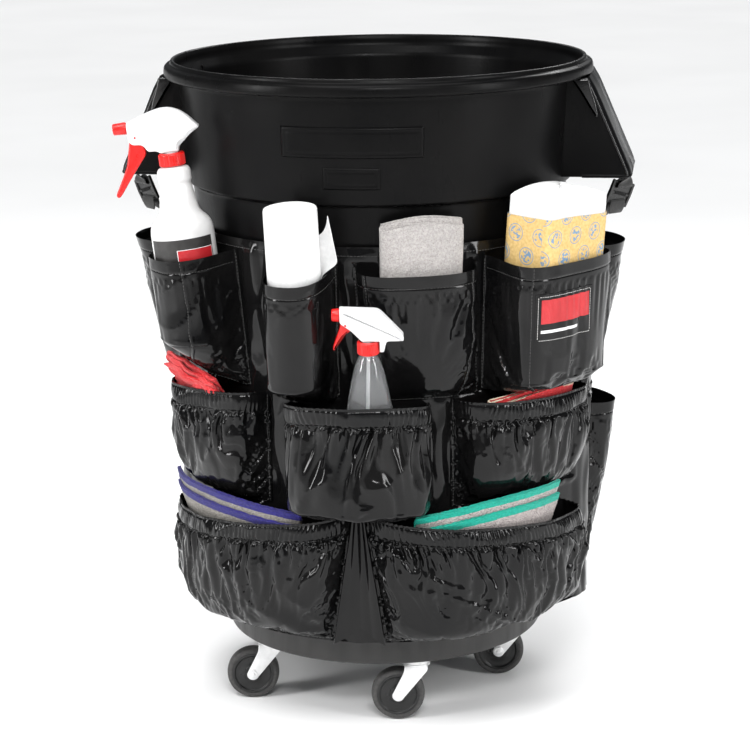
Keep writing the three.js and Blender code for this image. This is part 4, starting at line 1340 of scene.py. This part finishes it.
def make_spray(looks, n, made):
    body = f"spray_bottle_{n}"
    place = standing(*made["place"])
    profile = rounded(hollow(made["profile"], made["wall"]),
                      made["soft"] + made["soft"][1:][::-1] + [0], 4)
    bottle = lathe(f"spray_bottle_body_{n}", profile, looks[made["bottle_look"]], 96)
    bottle.matrix_world = place
    finished(bottle, body, "white_plastic" if n == 1 else "clear_plastic", f"bottle_{n}")

    inner, outer, low, high = made["collar"]
    sides = [(inner, low), (outer - 0.7, low), (outer, low + 1.2), (outer, high - 2.5),
             (outer - 0.8, high - 0.6), (outer - 1.6, high), (inner, high)]
    collar = lathe(f"ribbed_collar_{n}", rounded(sides, 0.5, 2, True), looks["red"], 180, 36, 0.55,
                   (low + 1, high - 2, outer - 0.3), True)
    collar.matrix_world = place
    finished(collar, body, "red_plastic", f"bottle_collar_{n}")

    outline = rounded(made["head"], made["head_soft"], 5, True)
    head = pillow("head", outline, made["head_width"], looks["white"], 4.2, 6)
    cut_slot(head, made)
    plug_r, plug_low, plug_high = made["plug"]
    sides = [(0, plug_low), (plug_r, plug_low), (plug_r, plug_high), (0, plug_high)]
    plug = lathe("plug", rounded(sides, 1, 3), looks["white"], 48)
    head = joined(f"spray_head_shell_{n}", [head, plug])
    head.matrix_world = place
    finished(head, body, "white_plastic", f"spray_head_{n}")

    pin_x, pin_z = made["pin"]
    ends = [(pin_x, y, pin_z) for y in (-11.6, -11.2, 11.2, 11.6)]
    pin = tube(f"trigger_pin_{n}", ends, 1.5, looks["red"], 16)
    pin.matrix_world = place
    finished(pin, body, "red_plastic")

    trigger = pillow(f"squeeze_trigger_{n}", rounded(made["trigger"], 5, 4, True), 12.4, looks["red"], 2.6, 5)
    trigger.matrix_world = place
    finished(trigger, f"trigger_lever_{n}", "red_plastic", f"trigger_{n}")

    nozzle_r, start, end, height = made["nozzle"]
    length = end - start
    rim = [(0, 0), (nozzle_r - 1, 0), (nozzle_r, 1), (nozzle_r - 0.8, length - 1), (nozzle_r - 1.8, length),
           (3, length), (2.2, length - 1.2), (1, length - 1.4), (0, length - 1.4)]
    nozzle = lathe(f"twist_nozzle_{n}", rounded(rim, 0.5, 2), looks["red"], 120, 12, 0.7,
                   (1.5, length - 1.6, nozzle_r - 1.2))
    forwards = Matrix.Rotation(math.pi / 2, 4, "Y")
    nozzle.matrix_world = place @ Matrix.Translation((start * MM, 0, height * MM)) @ forwards
    finished(nozzle, f"nozzle_cap_{n}", "red_plastic", f"nozzle_{n}")

    low, high = made["tube"]
    bend = 6 if n == 2 else 0
    line = [(bend * math.sin(t * 2.6) * (1 - t), 0, high + (low - high) * (1 - t))
            for t in np.linspace(0, 1, 24)]
    straw = tube(f"dip_straw_{n}", line, 2.4, looks["white"], 14)
    straw.matrix_world = place
    finished(straw, body, "white_plastic", f"dip_tube_{n}")


def cut_slot(head, made):
    """Opens the head underneath where the trigger swings."""
    start = made["slot_start"]
    low, high = min(z for _, z in made["head"][2:6]) - 12, made["pin"][1] + 8
    tool = pillow("slot", [(start, low), (90, low), (90, high), (start, high)], 14.2,
                  Look("slot_tool", 0.5), 0.6, 2)
    cut = head.modifiers.new("slot", "BOOLEAN")
    cut.operation = "DIFFERENCE"
    cut.object = tool
    bake(head)
    bpy.data.objects.remove(tool)


def bake(obj):
    """Applies the modifiers to the mesh."""
    mesh = bpy.data.meshes.new_from_object(obj.evaluated_get(bpy.context.evaluated_depsgraph_get()))
    obj.modifiers.clear()
    while len(mesh.materials) > 1:
        mesh.materials.pop()
    obj.data = mesh
    obj.data.shade_smooth()
    obj.data.set_sharp_from_angle(angle=math.radians(40))


def make_bottle_label(looks):
    parts = {
        "label": band_on(43.75, 84, 117, 24, 154, looks["label_dark"], "bottle_label"),
        "tag": band_on(44.0, 86, 102, 82, 150, looks["label_red"], "bottle_tag"),
        "tag_edge": band_on(43.9, 85.2, 102.8, 80.8, 151.2, looks["white"], "bottle_tag_edge"),
    }
    for obj in parts.values():
        obj.matrix_world = standing(*SPRAYS[1]["place"])
        finished(obj, "spray_bottle_1", "red_plastic" if obj.name == "bottle_tag" else "white_plastic")


# ---------------------------------------------------------------- paper goods
def make_paper_roll(looks):
    place = standing(301.5, -13.75, 527, 5, 0, -13.75)
    angles = np.linspace(0, 2 * math.pi, 160, endpoint=False)
    turns = np.mod(angles / (2 * math.pi) + 0.12, 1)
    profile = [(0.0, 0), (0.97, 0), (1.0, 2), (1.0, 226), (0.995, 231), (0.97, 233.4), (0.9, 234.2)]
    profile += [(f, 234.2 - 0.9 * (k % 2)) for k, f in enumerate(np.linspace(0.86, 0.1, 20))] + [(0.0, 233.6)]
    rows = []
    for share, z in profile:
        r = share * (35.4 + 1.4 * turns) + (0.35 * np.sin(angles * 3 + z / 60) if share > 0.5 else 0)
        rows.append(np.stack([r * np.cos(angles), r * np.sin(angles), np.full(160, z) + 0 * r], -1))
    grid = np.array(rows)
    core = weld(link("core", grid.reshape(-1, 3), grid_faces(len(rows), 160, True), looks["paper"], 50))
    s, t = np.meshgrid(np.linspace(0, 1, 30), np.linspace(0, 1, 60))
    top = 192 + 30 * s ** 1.6
    z = 96 + (top - 96) * t
    reach = 31 + 16 * smoothstep((z - 128) / 34)
    reach = reach + np.clip((222 - z) * 0.17, 0, 10) * smoothstep((z - 140) / 20)
    x = 27 + (reach - 27) * s
    y = 22 - 9 * s + 3 * np.sin(s * math.pi)
    flap_grid = np.stack([x, y, z], -1)
    points, faces = thick(flap_grid, 0.9)
    flap = link("flap", points, faces, looks["paper"], 60)
    roll = joined("rolled_paper_bundle", [core, flap])
    roll.matrix_world = place
    finished(roll, "rolled_paper", "white_paper", "paper_roll")


def towel_outline(count, grow=0.0, corner=13):
    w, d = 62.0 + grow, 39.0 + grow
    box = [(-w, -d), (w, -d), (w, d), (-w, d)]
    outline = np.array(rounded(box, corner, 8, True))
    outline = np.concatenate([outline, outline[:1]])
    run = np.concatenate([[0], np.cumsum(np.hypot(*np.diff(outline, axis=0).T))])
    even = np.linspace(0, run[-1], count + 1)[:-1]
    return np.interp(even, run, outline[:, 0]), np.interp(even, run, outline[:, 1]), run[-1]


def make_towel_pack(looks):
    place = standing(307.5, 55, 526, 5, 0, 55)
    rng = np.random.default_rng(3)
    count = 420
    x, y, _ = towel_outline(count)
    pleat = 0.45 * np.abs(np.sin(x / 2.7 * math.pi / 1.4)) * (np.abs(y) > 26)
    shares = [1.0] * 46 + list(np.cos(np.linspace(0.1, 1.0, 22) * math.pi / 2))
    heights = list(np.linspace(0, 233, 46)) + list(233 + 5 * np.sin(np.linspace(0.1, 1.0, 22) * math.pi / 2))
    rows = []
    for share, z in zip(shares, heights):
        dome = 9.5 * (1 - (x * share / 62) ** 2) * smoothstep((z - 192) / 41)
        bow = 0.8 * np.sin(z / 250 * math.pi)
        level = z + dome + 0.35 * np.sin(x * 2.3) * (share < 1)
        inward = (1 - pleat / 62) * share
        rows.append(np.stack([x * inward, y * inward + bow * np.sign(y) * (share == 1), level], -1))
    grid = np.array(rows)
    faces = [tuple(f) for f in grid_faces(len(rows), count, True)]
    faces.append(tuple(range(count))[::-1])
    pack = weld(link("folded_towel_stack", grid.reshape(-1, 3), faces, looks["paper"], 60))
    pack.matrix_world = place
    finished(pack, "packed_towels", "white_paper", "towel_pack")

    count, levels = 360, 60
    x, y, length = towel_outline(count, 1.2)
    t = np.linspace(0, 1, levels)[:, None]
    around = np.arange(count) / count * length
    top = 213 + 2.2 * np.sin(around / length * 4 * math.pi + 0.6)
    z = 4 + (top[None, :] - 4) * t
    bulge = 0.5 + 0.35 * waves(rng, around[None, :], z, 50, 70)
    scale = 1 + bulge / 62
    grid = np.stack([x[None, :] * scale, y[None, :] * scale, z + 0 * scale], -1)
    points, faces = thick(grid, 0.35, True)
    flat = np.stack([np.broadcast_to(around[None, :], z.shape), z], -1).reshape(-1, 2)
    wrapper = link("towel_wrapper", points, faces, looks["wrapper"], 60, uv=np.concatenate([flat, flat]))
    wrapper.matrix_world = place
    finished(wrapper, "packed_towels", "white_paper")


# ---------------------------------------------------------------- folded cloths
def cloth_radius(base, low, slope, flare=0.0):
    return lambda z: base + (z - low) * slope + np.maximum(z - 480, 0) * flare


def folded_cloth(name, side, low, tops, radius, offsets, rises, look, edge=None, rough=0.5, seed=1,
                 thickness=2.6, edge_height=11, crumple=0.0, dome=8):
    """One sheet folded back and forth between two angles.

    It has a layer for each offset from the radius, and each layer's top is raised by its own rise.
    """
    start, end = side
    phis, lifts, heights = [], [], []
    for k, (offset, rise) in enumerate(zip(offsets, rises)):
        s = np.linspace(0, 1, 90)
        if k % 2:
            s = s[::-1]
        phis.append(start + (end - start) * s)
        lifts.append(np.full(90, float(offset)))
        heights.append(tops[0] + (tops[1] - tops[0]) * s + dome * np.sin(math.pi * s) + rise)
        if k + 1 < len(offsets):
            a = np.linspace(0, math.pi, 8)[1:-1]
            gap = offsets[k + 1] - offset
            way = 1 if k % 2 == 0 else -1
            phis.append(phis[-1][-1] + way * np.degrees(abs(gap) / 2 * np.sin(a) / 290))
            lifts.append(offset + gap * (1 - np.cos(a)) / 2)
            heights.append(heights[-1][-1] + (rises[k + 1] - rise) * (1 - np.cos(a)) / 2)
    phi, lift, top = (np.concatenate(part)[None, :] for part in (phis, lifts, heights))
    t = np.linspace(0, 1, 70)[:, None]
    z = low + (top - low) * t
    rng = np.random.default_rng(seed)
    run = np.linspace(0, phi.shape[1] * 1.4, phi.shape[1])[None, :] + 0 * z
    soft = rough * waves(rng, run, z, 26, 30) + 0.28 * rng.normal(0, 1, z.shape)
    soft += crumple * (np.abs(waves(rng, run, z, 16, 13, 5)) - 0.5) * 2
    around = (phi - start) / (end - start) + 0 * z
    grid = polar(radius(z) + lift + soft - 5 * np.abs(2 * around - 1) ** 4, phi, z)
    grid[..., 2] += 0.35 * rough * waves(rng, run, z, 20, 200)
    points, faces = thick(grid, thickness)
    marks = None
    if edge:
        near_top = ((top - z)[:-1, :-1] < edge_height).astype(int).ravel()
        rim = np.ones(len(faces) - 2 * len(near_top), int)
        marks = np.concatenate([near_top, near_top, rim])
    obj = link(name, points, faces, [look, edge] if edge else look, 60, face_looks=marks)
    return obj, flat_size(grid)


def make_cloths(looks):
    grey = folded_cloth("grey_terry_cloths", (7.9, 30.1), 566, (724, 728), cloth_radius(277, 564, 0.075),
                        (3.8, 1.2, -1.4, -4.0), (0, 1.5, 7, 9.5), looks["grey_terry"], seed=5, thickness=2.2)
    finished(grey[0], "folded_cloths", "grey_cloth", "grey_cloths")
    rows = [
        ("red_terry_left", "red_cloth_left", (-70, -41), 402, (503, 503), cloth_radius(288.5, 400, 0.17, 0.4),
         (6, 2, -2, -6), (-12, -2, 4, 3), "red_terry", None, 1.3, 2.4, "red_cloth", "middle_left"),
        ("red_terry_right", "red_cloth_right", (37, 69), 402, (482, 484), cloth_radius(288, 400, 0.2),
         (5.5, 1.5, -2.5), (-4, 1, 3), "red_terry", "cream_edge", 0.6, 0.0, "red_cloth",
         "middle_right"),
        ("blue_edge_terry", "blue_edge_cloth", (-71, -15), 262, (330, 322), cloth_radius(283, 258, 0.35),
         (4.4, 1.4, -1.6, -4.6), (-9, -8, 10, 11), "taupe_terry", "blue_edge", 0.5, 0.0, "grey_cloth",
         "lower_left"),
        ("green_edge_terry", "green_edge_cloth", (16, 61), 262, (320, 338), cloth_radius(283, 258, 0.35),
         (4.4, 1.4, -1.6, -4.6), (-9, -8, 10, 11), "pink_terry", "green_edge", 0.5, 0.0, "grey_cloth",
         "lower_right"),
    ]
    for k, row in enumerate(rows):
        name, node, side, low, tops, radius, offsets, rises, look, edge, rough, crumple, slot, pocket = row
        cloth, flat = folded_cloth(name, side, low, tops, radius, offsets, rises, looks[look],
                                   looks[edge] if edge else None, rough, 20 + k, 2.6,
                                   1.2 if edge == "cream_edge" else 9.5, crumple, 8 + 6 * crumple)
        finished(cloth, "container", slot, node)


# ---------------------------------------------------------------- the whole scene
def make_scene():
    make_camera()
    make_studio()
    looks = make_looks()
    make_drum(looks)
    make_dolly(looks)
    for n in range(1, CASTER_COUNT + 1):
        make_caster(looks, n)
    make_bag(looks)
    make_pockets(looks)
    make_straps(looks)
    for n, made in SPRAYS.items():
        make_spray(looks, n, made)
    make_bottle_label(looks)
    make_paper_roll(looks)
    make_towel_pack(looks)
    make_cloths(looks)


make_scene()
bpy.context.view_layer.update()
